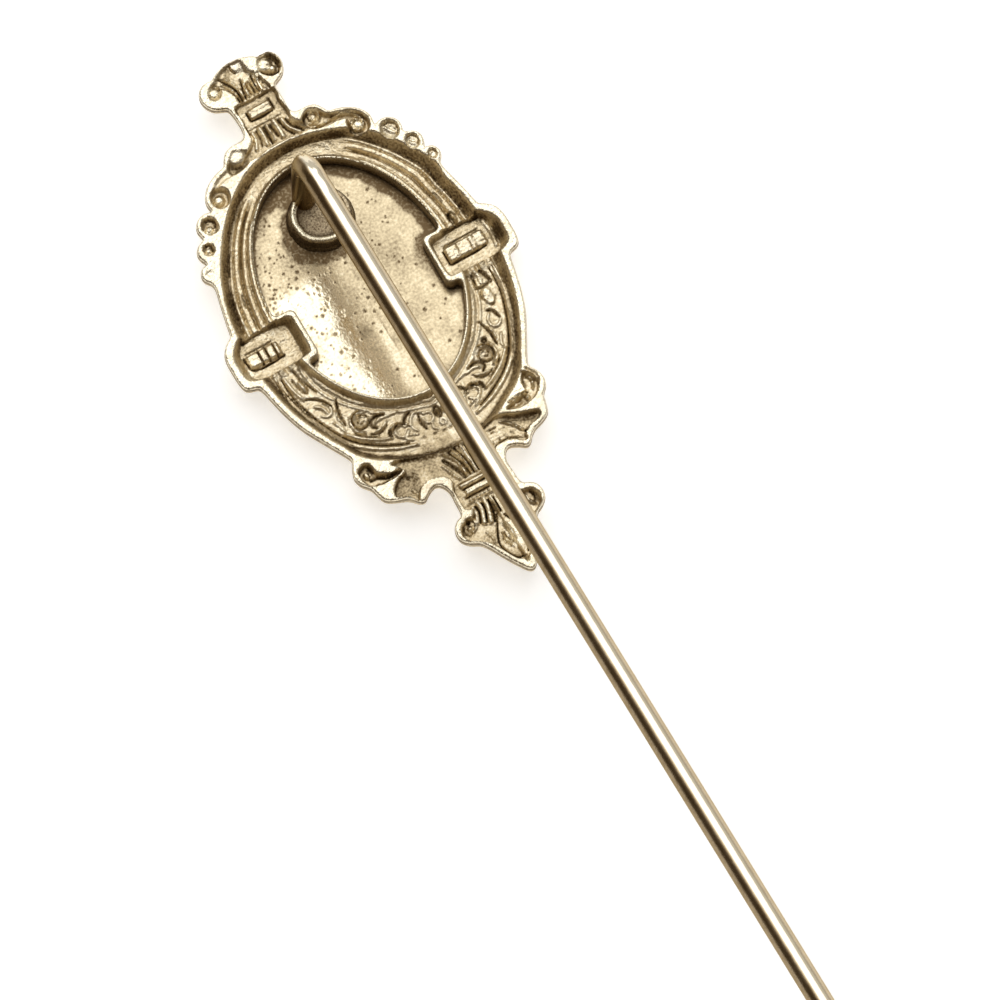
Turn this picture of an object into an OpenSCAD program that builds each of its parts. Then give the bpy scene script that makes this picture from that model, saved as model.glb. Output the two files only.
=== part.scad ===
// Stick pin: a die-struck oval frame round a plate that carries a bent wire stem.
// It lies face down: the frame's raised front rests at z = 0 and its hollows open upwards.
// +Y runs along the head towards the crest, and the stem runs the other way.

/* [Oval frame] */
// Height from the raised front to the flange's back face
frame_h = 1.6; // [1.4:0.05:2]
// Thickness of the flange's metal
flange_t = 0.5; // [0.4:0.05:0.6]
// Width of the flange round the hollows
flange_w = 0.26; // [0.2:0.02:0.34]
// Thickness of the metal under a struck hollow
metal_t = 0.5; // [0.4:0.05:0.6]
// Width across the oval channel
oval_w = 12.5; // [11.5:0.1:13.5]
// Length of the oval channel
oval_l = 16.4; // [15.4:0.1:17.4]
// Depth of the channel below the flange
channel_depth = 0.75; // [0.6:0.05:0.85]
// Width of the channel's sloping outer wall
channel_wall = 0.36; // [0.3:0.02:0.5]

/* [Opening] */
// Width of the oval opening
opening_w = 8.64; // [8:0.1:9.2]
// Length of the oval opening
opening_l = 12.16; // [11.4:0.1:12.8]
// How far the opening's middle lies above the straps
opening_y = 1.1; // [0.8:0.1:1.3]
// Width of the rim round the opening
rim_w = 0.22; // [0.16:0.02:0.3]

/* [Side straps] */
// How far a strap stands out beyond the channel
strap_out = 0.96; // [0.8:0.02:1.2]
// How far a strap's tab reaches into the opening
tab_in = 0.97; // [0.7:0.02:1.1]
// Length of a strap along the oval
strap_l = 2.4; // [1.9:0.05:2.6]
// Depth of a strap's hollow
strap_depth = 1.1; // [0.9:0.05:1.1]
// Width of the panel that stands up in a strap's hollow
panel_w = 1.9; // [1.5:0.05:2.2]
// Length of that panel along the oval
panel_l = 0.85; // [0.6:0.05:1]

/* [Shoulders] */
// Diameter of the largest bead's hollow
bead_d = 0.86; // [0.7:0.02:0.9]
// Diameter of the smallest bead's hollow
bead_last_d = 0.48; // [0.4:0.02:0.6]
// Depth of a bead's hollow
bead_depth = 0.5; // [0.4:0.05:0.6]
// Diameter of the volute next to the crest
volute_d = 0.84; // [0.7:0.02:0.9]
// Diameter of the volute next to the beads
scroll_d = 0.94; // [0.8:0.02:1]
// Depth of the volutes and leaves
scroll_depth = 0.6; // [0.5:0.05:0.7]

/* [Crest] */
// Height of the crest above the channel
crest_l = 4.57; // [4:0.05:5]
// Width across the crest's curls
crest_w = 4.14; // [3.8:0.05:4.4]
// Width of the crest's neck
neck_w = 2.34; // [2:0.05:2.5]
// Depth of the crest's hollows
crest_depth = 0.7; // [0.5:0.05:0.8]

/* [Leaves] */
// How far the leaves' tips stand below the channel
leaf_out = 1.95; // [1.6:0.05:2.2]

/* [Pendant] */
// Length of the pendant below the channel
pendant_l = 6.78; // [6:0.05:7.5]
// Width across the pendant's curls
pendant_w = 4.46; // [4:0.05:4.8]
// Width of the pendant's neck
waist_w = 3; // [2.7:0.05:3.2]
// Depth of the drop's hollow
drop_depth = 1.1; // [0.9:0.05:1.1]

/* [Plate] */
// Thickness of the oval plate
plate_t = 0.35; // [0.25:0.05:0.45]
// Depth of the plate's back below the flange
plate_drop = 0.95; // [0.85:0.05:1]
// How far the plate's edge reaches into the frame's groove
plate_seat = 0.16; // [0.1:0.02:0.2]
// Clearance round the plate's edge
plate_gap = 0.04; // [0.03:0.01:0.06]

/* [Stem] */
// Diameter of the stem's wire
wire_d = 1.1; // [0.9:0.05:1.2]
// Length of the stem from its bend's corner to its point
stem_l = 56.5; // [45:0.5:70]
// Length of the tapered point
point_l = 7; // [4:0.5:10]
// Diameter of the blunt end of the point
point_d = 0.16; // [0.1:0.02:0.3]
// Rise of the stem away from the head, in degrees
stem_lift = 3.8; // [2:0.1:6]
// Height of the stem's axis above the flange at its corner
stem_h = 5.13; // [4:0.1:6]
// Radius of the bend at the wire's axis
bend_r = 1.2; // [0.9:0.05:1.6]
// Place of the post along the head, above the straps
post_y = 5.76; // [5.4:0.05:5.9]
// Place of the post across the head
post_x = -0.25; // [-0.4:0.05:0.4]

/* [Cup] */
// Diameter of the soldered cup's foot
cup_d = 3.1; // [2.8:0.05:3.2]
// Diameter across the cup's lip
lip_d = 2.76; // [2.5:0.05:2.8]
// Diameter of the cup's hollow
cup_hole_d = 2.1; // [1.8:0.05:2.2]
// Height of the cup above the plate
cup_h = 0.9; // [0.7:0.05:1.1]
// Depth of the solder inside the cup below its lip
solder_drop = 0.4; // [0.2:0.05:0.6]
// Place of the cup along the head, above the straps
cup_y = 4.65; // [4.4:0.05:4.9]

/* [Hidden] */

// Sides of the round forms and steps round the oval
form_fn = 12;
oval_steps = 60;
// How far a cut runs past the face that it opens
over = 0.3;
// Thickness of the walls beside a struck hollow, and radius of the fillets in the outline's notches
form_wall = flange_w * 0.6;
notch_r = 0.14;
// Middle of the oval channel above the straps
oval_y = 0.2;
oval_top = oval_y + oval_l / 2;
oval_foot = oval_y - oval_l / 2;
tab_x = opening_w / 2 - tab_in;
strap_x = oval_w / 2 + strap_out;
crest_top = oval_top + crest_l;
tip_y = post_y - stem_l * cos(stem_lift);
// The origin lies under the middle of the whole pin, so the head is moved along Y
head_y = -(crest_top + tip_y) / 2;
plate_z = frame_h - plate_drop;
corner_z = frame_h + stem_h;

// Volutes: turn from the top in degrees, place beyond the channel in shares of the radius, radius
volutes = [
    [16, 1.8, volute_d / 2],
    [32, 1.15, scroll_d / 2]
];
bead_turns = [42, 51.5, 59];
// Leaf lobes: turn and place of the root, turn and place of the end, radius of the end. Places and
// radii are shares of leaf_out, and places are measured outwards from the channel
leaf_lobes = [
    [146, 0.1, 143.5, 0.42, 0.33],
    [156, 0.2, 151.5, 0.74, 0.28],
    [160, 0.3, 156, 0.8, 0.24],
    [166, 0.2, 161.5, 0.98, 0.1],
    [176, 0.1, 167, 0.34, 0.36]
];
// Leaf hollows in the same columns
leaf_hollows = [
    [153, 0.36, 144, 0.43, 0.2],
    [162, 0.46, 152.5, 0.72, 0.17],
    [165.5, 0.5, 161.5, 0.82, 0.05]
];

// A point at a turn from the top of the channel's outer edge, moved outwards by off
function oval_point(t, off) =
    let (a = oval_w / 2, b = oval_l / 2, n = [sin(t) / a, cos(t) / b])
    [a * sin(t), oval_y + b * cos(t)] + off * n / norm(n);

// The same on the opening's edge
function opening_point(t, off) =
    let (a = opening_w / 2, b = opening_l / 2, n = [sin(t) / a, cos(t) / b])
    [a * sin(t), opening_y + b * cos(t)] + off * n / norm(n);

// A section row holds the share of the way from the opening to the channel's edge, the distance
// outwards from there, and the height
function band_point(t, row) =
    let (p = (1 - row[0]) * opening_point(t, row[1]) + row[0] * oval_point(t, row[1]))
    [p[0], p[1], row[2]];

// Places on the crest and the pendant: share of the half width, share of the length
function crest_at(a, b) = [a * crest_w / 2, oval_top + b * crest_l];
function pendant_at(a, b) = [a * pendant_w / 2, oval_foot - b * pendant_l];

function bead_r(i) = (bead_d - i * (bead_d - bead_last_d) / (len(bead_turns) - 1)) / 2;
function bead_place(i) = oval_point(bead_turns[i], bead_r(i) + flange_w * 0.6);

// A closed ring round the oval whose section is a list of rows, from the inside outwards over the top
module band_ring(rows) {
    n = len(rows);
    points = [for (i = [0:oval_steps - 1]) for (r = rows) band_point(i * 360 / oval_steps, r)];
    faces = [
        for (i = [0:oval_steps - 1]) for (k = [0:n - 1])
            let (j = (i + 1) % oval_steps, m = (k + 1) % n, a = i * n + k, b = j * n + k,
                c = j * n + m, d = i * n + m)
            for (f = [[a, d, c], [a, c, b]]) f
    ];
    polyhedron(points, faces);
}

// A round form struck to a depth below the flange: its hollow, or the metal round it
module dome(p, r, depth, metal) {
    wide = r + (metal ? form_wall : 0);
    deep = depth + (metal ? metal_t : 0);
    top = metal ? -flange_t / 2 : over;
    translate([p[0], p[1], frame_h])
        rotate_extrude($fn = form_fn)
            polygon([[0, -deep], [wide * 0.5, -deep], [wide * 0.86, -deep * 0.6], [wide, top], [0, top]]);
}

// Two round forms and the metal or hollow between them
module ridge(p, r, q, s, depth, metal) {
    hull() {
        dome(p, r, depth, metal);
        dome(q, s, depth, metal);
    }
}

// A straight form across the middle line, from y0 to y1, with sloping walls
module block(w, y0, y1, slope, depth, metal) {
    side = metal ? form_wall : 0;
    deep = depth + (metal ? metal_t : 0);
    top = metal ? -flange_t / 2 : over;
    hull() {
        translate([-w / 2 - side, y0 - side, frame_h - depth / 2])
            cube([w + 2 * side, y1 - y0 + 2 * side, depth / 2 + top]);
        translate([-w / 2 + slope - side, y0 + slope - side, frame_h - deep])
            cube([w - 2 * slope + 2 * side, y1 - y0 - 2 * slope + 2 * side, deep / 3]);
    }
}

module both_sides() {
    children();
    mirror([1, 0, 0]) children();
}

// One disc of the sheet's outline
module pad(p, r) {
    translate(p) circle(r = r, $fn = 2 * form_fn);
}

// The sheet's outline beside the oval, on one side
module side_outline() {
    for (v = volutes)
        hull() {
            pad(oval_point(v[0], v[1] * v[2]), v[2] + flange_w * 0.8);
            pad(oval_point(v[0], -v[2]), v[2] + flange_w);
        }
    hull()
        for (v = volutes)
            pad(oval_point(v[0], v[1] * v[2] * 0.8), v[2] * 1.1);
    for (i = [0:len(bead_turns) - 1])
        hull() {
            pad(bead_place(i), bead_r(i) + flange_w * 0.8);
            pad(oval_point(bead_turns[i], -flange_w), bead_r(i) + flange_w);
        }
    for (l = leaf_lobes)
        hull() {
            pad(oval_point(l[0], l[1] * leaf_out - flange_w), l[4] * leaf_out + flange_w);
            pad(oval_point(l[2], l[3] * leaf_out), l[4] * leaf_out);
        }
    strap_outline(tab_x, strap_x, strap_l);
}

// The crest's outline on one side
module crest_outline() {
    hull() {
        pad(crest_at(0, 0.885), crest_w * 0.12);
        pad(crest_at(0.7, 0.783), crest_w * 0.148);
        pad(crest_at(0.3, 0.68), crest_w * 0.14);
    }
    pad(crest_at(0, 0.88), crest_l * 0.12);
    translate([-neck_w * 0.1, oval_top - crest_l * 0.1])
        square([neck_w * 0.6, crest_l * 0.75]);
}

// The pendant's outline on one side
module pendant_outline() {
    translate([-waist_w * 0.1, oval_foot - pendant_l * 0.45])
        square([waist_w * 0.6, pendant_l * 0.5]);
    pad(pendant_at(0.695, 0.553), pendant_w * 0.152);
    hull() {
        pad(pendant_at(0.5, 0.61), pendant_w * 0.1);
        pad(pendant_at(0, 0.42), pendant_w * 0.1);
        pad(pendant_at(0, 0.972), pendant_l * 0.028);
    }
}

// A strap's outline on one side, from its tab to its outer end
module strap_outline(x0, x1, l) {
    hull() {
        translate([x0, -l / 2]) square([x1 - x0 - l * 0.25, l]);
        translate([x1 - l * 0.15, -l * 0.36]) square([l * 0.15, l * 0.72]);
    }
}

// The whole outline of the sheet, with a fillet in each notch
module sheet_outline() {
    offset(r = -notch_r, $fn = form_fn) offset(delta = notch_r) {
        polygon([for (i = [0:oval_steps - 1]) oval_point(i * 360 / oval_steps, flange_w)]);
        both_sides() {
            side_outline();
            crest_outline();
            pendant_outline();
        }
    }
}

// Everything struck into the sheet on one side of the middle
module side_forms(metal) {
    for (v = volutes)
        dome(oval_point(v[0], v[1] * v[2]), v[2], scroll_depth, metal);
    ridge(oval_point(21, volute_d * 0.65), volute_d * 0.22, oval_point(28, scroll_d * 0.72),
        scroll_d * 0.2, scroll_depth * 0.6, metal);
    for (i = [0:len(bead_turns) - 1])
        dome(bead_place(i), bead_r(i), bead_depth, metal);
    for (l = leaf_hollows)
        ridge(oval_point(l[0], l[1] * leaf_out), l[4] * leaf_out * 0.6,
            oval_point(l[2], l[3] * leaf_out), l[4] * leaf_out, scroll_depth, metal);
    // The crest's curl and the plume that runs up to it
    dome(crest_at(0.68, 0.79), crest_w * 0.092, crest_depth, metal);
    ridge(crest_at(0.12, 0.6), crest_w * 0.07, crest_at(0.36, 0.83), crest_w * 0.06,
        crest_depth, metal);
    // The pendant's curl and the rib that runs down to it
    dome(pendant_at(0.68, 0.555), pendant_w * 0.1, scroll_depth, metal);
    ridge(pendant_at(0.2, 0.44), pendant_w * 0.06, pendant_at(0.28, 0.58), pendant_w * 0.06,
        scroll_depth, metal);
}

// Everything struck on the middle line
module middle_forms(metal) {
    dome(crest_at(0, 0.89), crest_w * 0.065, crest_depth * 0.7, metal);
    block(neck_w - 2 * flange_w, oval_top + crest_l * 0.28, oval_top + crest_l * 0.54,
        crest_depth * 0.3, crest_depth, metal);
    block(neck_w - 2 * flange_w, oval_top + crest_l * 0.06, oval_top + crest_l * 0.25,
        crest_depth * 0.2, crest_depth * 0.9, metal);
    block(waist_w - 2.4 * flange_w, oval_foot - pendant_l * 0.41, oval_foot - pendant_l * 0.24,
        scroll_depth * 0.3, scroll_depth, metal);
    block(waist_w * 0.45, oval_foot - pendant_l * 0.22, oval_foot - pendant_l * 0.06,
        scroll_depth * 0.2, scroll_depth, metal);
    ridge(pendant_at(0, 0.735), pendant_w * 0.135, pendant_at(0, 0.9), pendant_w * 0.03,
        drop_depth, metal);
}

// The hollow of a strap, or the metal round it
module strap_form(metal) {
    side = metal ? form_wall : 0;
    deep = strap_depth + (metal ? metal_t : 0);
    top = metal ? -flange_t / 2 : over;
    wall = strap_depth * 0.4;
    x0 = tab_x + (metal ? -over : rim_w);
    x1 = strap_x - flange_w + side;
    l = strap_l - 2 * rim_w + 2 * side;
    hull() {
        translate([0, 0, frame_h - strap_depth / 2]) linear_extrude(strap_depth / 2 + top)
            strap_outline(x0, x1, l);
        translate([0, 0, frame_h - deep]) linear_extrude(deep / 3)
            strap_outline(x0 + (metal ? 0 : wall * 0.8), x1 - wall, l - wall);
    }
}

// The panel that stands up in a strap's hollow
module strap_panel() {
    x = (tab_x + strap_x - flange_w - panel_w) / 2;
    translate([x, -panel_l / 2, 0]) cube([panel_w, panel_l, frame_h - strap_depth * 0.4]);
}

// The bars that stand up in the necks of the crest and the pendant
module neck_bars() {
    w = neck_w * 0.53;
    translate([-w / 2, oval_top + crest_l * 0.36, 0])
        cube([w, crest_l * 0.11, frame_h - crest_depth * 0.3]);
    for (share = [0.275, 0.335])
        translate([-waist_w * 0.32, oval_foot - pendant_l * share, 0])
            cube([waist_w * 0.64, pendant_l * 0.025, frame_h - scroll_depth * 0.3]);
}

// The channel's metal: its front carries a moulding near its outer edge and a lip round the opening
module channel_metal() {
    face = frame_h - channel_depth - metal_t;
    lip = metal_t * 0.1;
    band_ring([
        [0, -over, frame_h - flange_t / 2],
        [1, flange_w / 2, frame_h - flange_t / 2],
        [1, 0, frame_h - flange_t * 1.4],
        [0.9, 0, face],
        [0.84, 0, face * 0.6],
        [0.7, 0, face * 0.6],
        [0.62, 0, face],
        [0.36, 0, face],
        [0.26, 0, lip],
        [0, -over, lip]
    ]);
}

// The channel's hollow, open upwards
module channel_hollow() {
    z = frame_h - channel_depth;
    band_ring([
        [0, rim_w, frame_h + over],
        [1, 0, frame_h + over],
        [1, 0, frame_h],
        [1, -channel_wall, z + channel_depth * 0.12],
        [0.5, 0, z + channel_depth * 0.16],
        [0, rim_w + channel_wall * 0.8, z],
        [0, rim_w, frame_h]
    ]);
}

// The opening's outline, with a notch for each tab
module opening_outline(grow) {
    difference() {
        polygon([for (i = [0:oval_steps - 1]) opening_point(i * 360 / oval_steps, grow)]);
        both_sides()
            translate([tab_x + grow, -strap_l / 2 + grow])
                square([opening_w, strap_l - 2 * grow]);
    }
}

// Every hollow in the frame's back, less what stands up in it
module hollows() {
    difference() {
        union() {
            channel_hollow();
            both_sides() {
                side_forms(false);
                strap_form(false);
            }
            middle_forms(false);
        }
        both_sides() strap_panel();
        neck_bars();
    }
}

// The die-struck frame
module frame() {
    color("darkgoldenrod")
        translate([0, head_y, 0])
            difference() {
                union() {
                    translate([0, 0, frame_h - flange_t])
                        linear_extrude(flange_t) sheet_outline();
                    channel_metal();
                    both_sides() {
                        side_forms(true);
                        strap_form(true);
                    }
                    middle_forms(true);
                }
                hollows();
                translate([0, 0, -over])
                    linear_extrude(frame_h + 2 * over) opening_outline(0);
                translate([0, 0, plate_z - plate_t - plate_gap])
                    linear_extrude(plate_t + 2 * plate_gap)
                        opening_outline(plate_seat + plate_gap);
            }
}

// The wire: post, bend, straight stem and point
module stem() {
    r = wire_d / 2;
    turn = 90 - stem_lift;
    reach = bend_r * tan(turn / 2);
    straight = stem_l - reach - point_l;
    foot = plate_z - plate_t / 2;
    translate([post_x, post_y, 0]) {
        translate([0, 0, foot])
            cylinder(r = r, h = corner_z - reach - foot);
        translate([0, -bend_r, corner_z - reach])
            rotate([90, 0, 90])
                rotate_extrude(angle = turn) translate([bend_r, 0]) circle(r);
        translate([0, 0, corner_z])
            rotate([90 - stem_lift, 0, 0])
                translate([0, 0, reach]) {
                    cylinder(r = r, h = straight);
                    translate([0, 0, straight])
                        cylinder(r1 = r, r2 = point_d / 2, h = point_l);
                }
    }
}

// The cup that is soldered to the plate, with the solder in it
module cup() {
    foot = plate_t / 2;
    translate([0, cup_y, plate_z - foot])
        difference() {
            cylinder(r1 = cup_d / 2, r2 = lip_d / 2, h = cup_h + foot);
            translate([0, 0, cup_h + foot - solder_drop])
                cylinder(r = cup_hole_d / 2, h = solder_drop + over);
        }
}

module plate_and_stem() {
    color("goldenrod")
        translate([0, head_y, 0]) {
            translate([0, 0, plate_z - plate_t]) linear_extrude(plate_t)
                opening_outline(plate_seat);
            cup();
            stem();
        }
}

frame();
plate_and_stem();
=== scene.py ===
import logging
import math
from dataclasses import dataclass, field
from enum import Enum
from itertools import product
from typing import Callable, Sequence

import bpy
import numpy as np
from mathutils import Matrix, Vector


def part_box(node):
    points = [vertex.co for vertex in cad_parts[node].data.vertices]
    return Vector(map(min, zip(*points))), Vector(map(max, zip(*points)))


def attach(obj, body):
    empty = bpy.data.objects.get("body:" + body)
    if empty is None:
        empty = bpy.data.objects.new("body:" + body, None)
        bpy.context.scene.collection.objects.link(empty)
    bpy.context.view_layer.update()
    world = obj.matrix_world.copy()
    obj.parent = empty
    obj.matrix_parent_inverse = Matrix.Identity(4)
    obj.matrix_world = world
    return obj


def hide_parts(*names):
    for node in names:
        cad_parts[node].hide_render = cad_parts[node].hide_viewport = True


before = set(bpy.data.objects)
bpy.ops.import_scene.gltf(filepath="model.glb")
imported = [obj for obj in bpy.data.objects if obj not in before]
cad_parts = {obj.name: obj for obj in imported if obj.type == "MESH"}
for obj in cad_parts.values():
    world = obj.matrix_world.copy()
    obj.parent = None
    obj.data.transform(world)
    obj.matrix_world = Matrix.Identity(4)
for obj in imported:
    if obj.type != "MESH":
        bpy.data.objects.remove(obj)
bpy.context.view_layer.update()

# A gold-tone stick pin, face down. Lengths are millimetres on the head's plan: u runs to the right,
# v to the crest, h up from the plane of the frame's back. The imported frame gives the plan's place.

MM = 0.001
KNOTS = 256
TINY = 1e-12
CREST_V = 12.97
COURSE_STEPS = 4
BASIN_MARGIN = 0.3
SOFT_SHARE = 0.6
BOSS_REACH = 0.01
NOISE_LOW = 0.32
NOISE_HIGH = 0.68
Points = Sequence[tuple[float, float]]
Rgb = tuple[float, float, float]
Heights = Callable[[np.ndarray], np.ndarray]

log = logging.getLogger("stick_pin")


class Side(Enum):
    """Which half of the head a form stands on."""

    BOTH = 0
    LEFT = -1
    RIGHT = 1

    def fold(self, p: np.ndarray) -> np.ndarray:
        """Returns the plan points as a form of this side sees them."""
        if self is Side.BOTH:
            return np.column_stack([np.abs(p[:, 0]), p[:, 1]])
        return p


@dataclass(frozen=True)
class Plan:
    """Where the head's plan lies in the scene."""

    head_y: float
    top_z: float

    @classmethod
    def of_frame(cls) -> "Plan":
        """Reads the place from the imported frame's box."""
        _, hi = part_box("frame")
        return cls(hi.y / MM - CREST_V, hi.z / MM)

    def place(self, u: np.ndarray, v: np.ndarray, h: np.ndarray) -> np.ndarray:
        """Turns plan lengths into scene metres.

        Args:
            u: lengths to the right.
            v: lengths to the crest.
            h: heights over the frame's back.

        Returns:
            An array of x, y, z in metres.
        """
        return np.column_stack([u, v + self.head_y, h + self.top_z]) * MM


def eased(t: np.ndarray) -> np.ndarray:
    """Returns 0 to 1 with soft ends for t from 0 to 1: three t squared less two t cubed."""
    t = np.clip(t, 0, 1)
    return t * t * (3 - 2 * t)


def spline(points: Points, steps: int, closed: bool) -> np.ndarray:
    """Runs a smooth course through points.

    Each span is the cubic whose slopes at its ends are half the chord of the neighbours.

    Args:
        points: the points that the course passes.
        steps: pieces per span.
        closed: whether the course comes back to its start.

    Returns:
        The points of the course.
    """
    p = np.asarray(points, float)
    if closed:
        p = np.vstack([p[-1], p, p[0], p[1]])
    else:
        p = np.vstack([2 * p[0] - p[1], p, 2 * p[-1] - p[-2]])
    a, b, c, d = p[:-3], p[1:-2], p[2:-1], p[3:]
    t = (np.arange(steps) / steps)[None, :, None]
    a, b, c, d = (q[:, None, :] for q in (a, b, c, d))
    run = 0.5 * (2 * b + (c - a) * t + (2 * a - 5 * b + 4 * c - d) * t**2
                 + (3 * b - a - 3 * c + d) * t**3)
    run = run.reshape(-1, 2)
    return run if closed else np.vstack([run, p[-2]])


def noise(p: np.ndarray, size: float, seed: int) -> np.ndarray:
    """Returns smooth random values from -1 to 1 with knots every size, the same on each run."""
    q = p / size
    cell = np.floor(q).astype(int)
    t = eased(q - cell)
    table = np.random.default_rng(seed).uniform(-1, 1, (KNOTS, KNOTS))
    i, j = cell[:, 0] % (KNOTS - 1), cell[:, 1] % (KNOTS - 1)
    low = table[i, j] * (1 - t[:, 0]) + table[i + 1, j] * t[:, 0]
    high = table[i, j + 1] * (1 - t[:, 0]) + table[i + 1, j + 1] * t[:, 0]
    return low * (1 - t[:, 1]) + high * t[:, 1]


@dataclass(frozen=True)
class Ring:
    """A closed outline on the plan."""

    points: np.ndarray

    @classmethod
    def mirrored(cls, half: Points, steps: int = COURSE_STEPS) -> "Ring":
        """Makes a whole smooth outline from its right half, from the top round to the foot."""
        right = np.asarray(half, float)
        left = right[::-1] * (-1, 1)
        inner = left[np.abs(left[:, 0]) > 1e-6]
        return cls(spline(np.vstack([right, inner]), steps, True))

    @classmethod
    def oval(cls, middle_v: float, a: float, b: float, steps: int = 160) -> "Ring":
        """Makes an oval with half axes a and b about the head's centre line."""
        t = np.arange(steps) * math.tau / steps
        return cls(np.column_stack([a * np.sin(t), middle_v + b * np.cos(t)]))

    def signed(self, p: np.ndarray) -> np.ndarray:
        """Gives each point's distance from the outline.

        The distance is the smallest to any span, below zero where a ray to the right crosses
        the outline an odd number of times.

        Args:
            p: points on the plan.

        Returns:
            The signed distances, below zero inside.
        """
        best = np.full(len(p), np.inf)
        inside = np.zeros(len(p), bool)
        x, y = p[:, 0].copy(), p[:, 1].copy()
        for (ax, ay), (bx, by) in zip(self.points, np.roll(self.points, -1, 0)):
            wide, tall = bx - ax, by - ay
            along = (x - ax) * wide + (y - ay) * tall
            t = np.clip(along / (wide * wide + tall * tall + TINY), 0, 1)
            best = np.minimum(best, (x - ax - t * wide) ** 2 + (y - ay - t * tall) ** 2)
            if abs(tall) > TINY:
                inside ^= ((ay > y) != (by > y)) & (x < ax + (y - ay) * wide / tall)
        return np.where(inside, -1.0, 1.0) * np.sqrt(best)


@dataclass(frozen=True)
class Dimple:
    """A round hollow, deepest in its middle."""

    at: tuple[float, float]
    radius: float
    depth: float
    side: Side = Side.BOTH
    stretch: float = 1.0
    arch: float = 0.55

    def height(self, p: np.ndarray) -> np.ndarray:
        """Returns less depth times a power of one less the squared share of the radius."""
        q = (self.side.fold(p) - self.at) * (1, 1 / self.stretch)
        share = (q**2).sum(1) / self.radius**2
        return -self.depth * np.clip(1 - share, 0, 1) ** self.arch


@dataclass(frozen=True)
class Basin:
    """A hollow with a level floor inside a smooth outline."""

    points: Points
    depth: float
    run: float
    side: Side = Side.BOTH

    def height(self, p: np.ndarray) -> np.ndarray:
        """Returns less depth times the eased share of the wall's run from the outline."""
        q = self.side.fold(p)
        lo = np.min(self.points, 0) - BASIN_MARGIN
        hi = np.max(self.points, 0) + BASIN_MARGIN
        near = np.flatnonzero(((q > lo) & (q < hi)).all(1))
        out = np.zeros(len(p))
        ring = Ring(spline(self.points, COURSE_STEPS, True))
        out[near] = -self.depth * eased(-ring.signed(q[near]) / self.run)
        return out


@dataclass(frozen=True)
class Stroke:
    """A ridge or a groove along a smooth course."""

    points: Points
    width: float
    rise: float
    side: Side = Side.BOTH
    end: float = 0.6

    def shade(self, p: np.ndarray, shift: Sequence[float]) -> tuple[np.ndarray, np.ndarray]:
        """Finds the points that the stroke lifts or lowers.

        The lift is the rise times the eased share of one less the distance from the course, in
        half widths, over the soft share. The half width narrows to the share `end` at both ends.

        Args:
            p: points on the plan.
            shift: how far the course moves on the plan.

        Returns:
            The indexes of the points and their lifts.
        """
        straight = len(self.points) < 3
        course = np.asarray(self.points) if straight else spline(self.points, COURSE_STEPS, False)
        course = course + shift
        q = self.side.fold(p)
        lo, hi = course.min(0) - self.width, course.max(0) + self.width
        near = np.flatnonzero(((q > lo) & (q < hi)).all(1))
        best = np.full(len(near), np.inf)
        spans = len(course) - 1
        for k, (a, b) in enumerate(zip(course[:-1], course[1:])):
            ab, rel = b - a, q[near] - a
            t = np.clip(rel @ ab / (ab @ ab + TINY), 0, 1)
            along = (k + t) / spans
            wide = self.width * (self.end + (1 - self.end) * np.sin(math.pi * along) ** 0.5)
            best = np.minimum(best, ((rel - t[:, None] * ab) ** 2).sum(1) / wide**2)
        return near, self.rise * eased((1 - np.sqrt(best)) / SOFT_SHARE)


def curl(at: tuple[float, float], start: float, end: float, turn: float, turns: float,
         width: float, rise: float, side: Side = Side.BOTH) -> Stroke:
    """Winds a stroke into a spiral.

    Args:
        at: the spiral's middle.
        start: the outer radius.
        end: the inner radius.
        turn: degrees, anticlockwise from +u, where the outer end lies.
        turns: how many turns, below zero for clockwise.
        width: the stroke's half width.
        rise: the stroke's lift.
        side: where the stroke stands.

    Returns:
        The stroke.
    """
    t = np.linspace(0, 1, max(6, int(abs(turns) * 10)))
    angle = math.radians(turn) + t * turns * math.tau
    radius = start + (end - start) * t
    course = np.column_stack([at[0] + radius * np.cos(angle), at[1] + radius * np.sin(angle)])
    return Stroke([tuple(c) for c in course], width, rise, side)


@dataclass(frozen=True)
class Relief:
    """Strokes that share one floor."""

    strokes: Sequence[Stroke]
    shift: tuple[float, float] = (0.0, 0.0)
    gain: float = 1.0

    def lift(self, p: np.ndarray) -> tuple[np.ndarray, np.ndarray]:
        """Returns the highest ridge and the deepest groove at each point."""
        up, down = np.zeros(len(p)), np.zeros(len(p))
        for stroke in self.strokes:
            near, lifts = stroke.shade(p, self.shift)
            if stroke.rise > 0:
                up[near] = np.maximum(up[near], lifts)
            else:
                down[near] = np.minimum(down[near], lifts)
        return up * self.gain, down * self.gain


@dataclass(frozen=True)
class PaintedPatch:
    """A soft round patch painted darker, and lighter where its amount is below zero: painted shade and
    painted light.
    """

    at: tuple[float, float]
    radius: float
    amount: float

    def tone(self, p: np.ndarray) -> np.ndarray:
        """Returns the amount times the eased share of the way in from the patch's edge."""
        reach = np.hypot(*(p - self.at).T) + 0.12 * self.radius * noise(p, 0.4, 51)
        return self.amount * eased(1.6 * (1 - reach / self.radius))


def profile(t: np.ndarray, points: Points) -> np.ndarray:
    """Returns the height at t of a profile with straight spans between its points."""
    return np.interp(t, *np.transpose(points))


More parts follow.
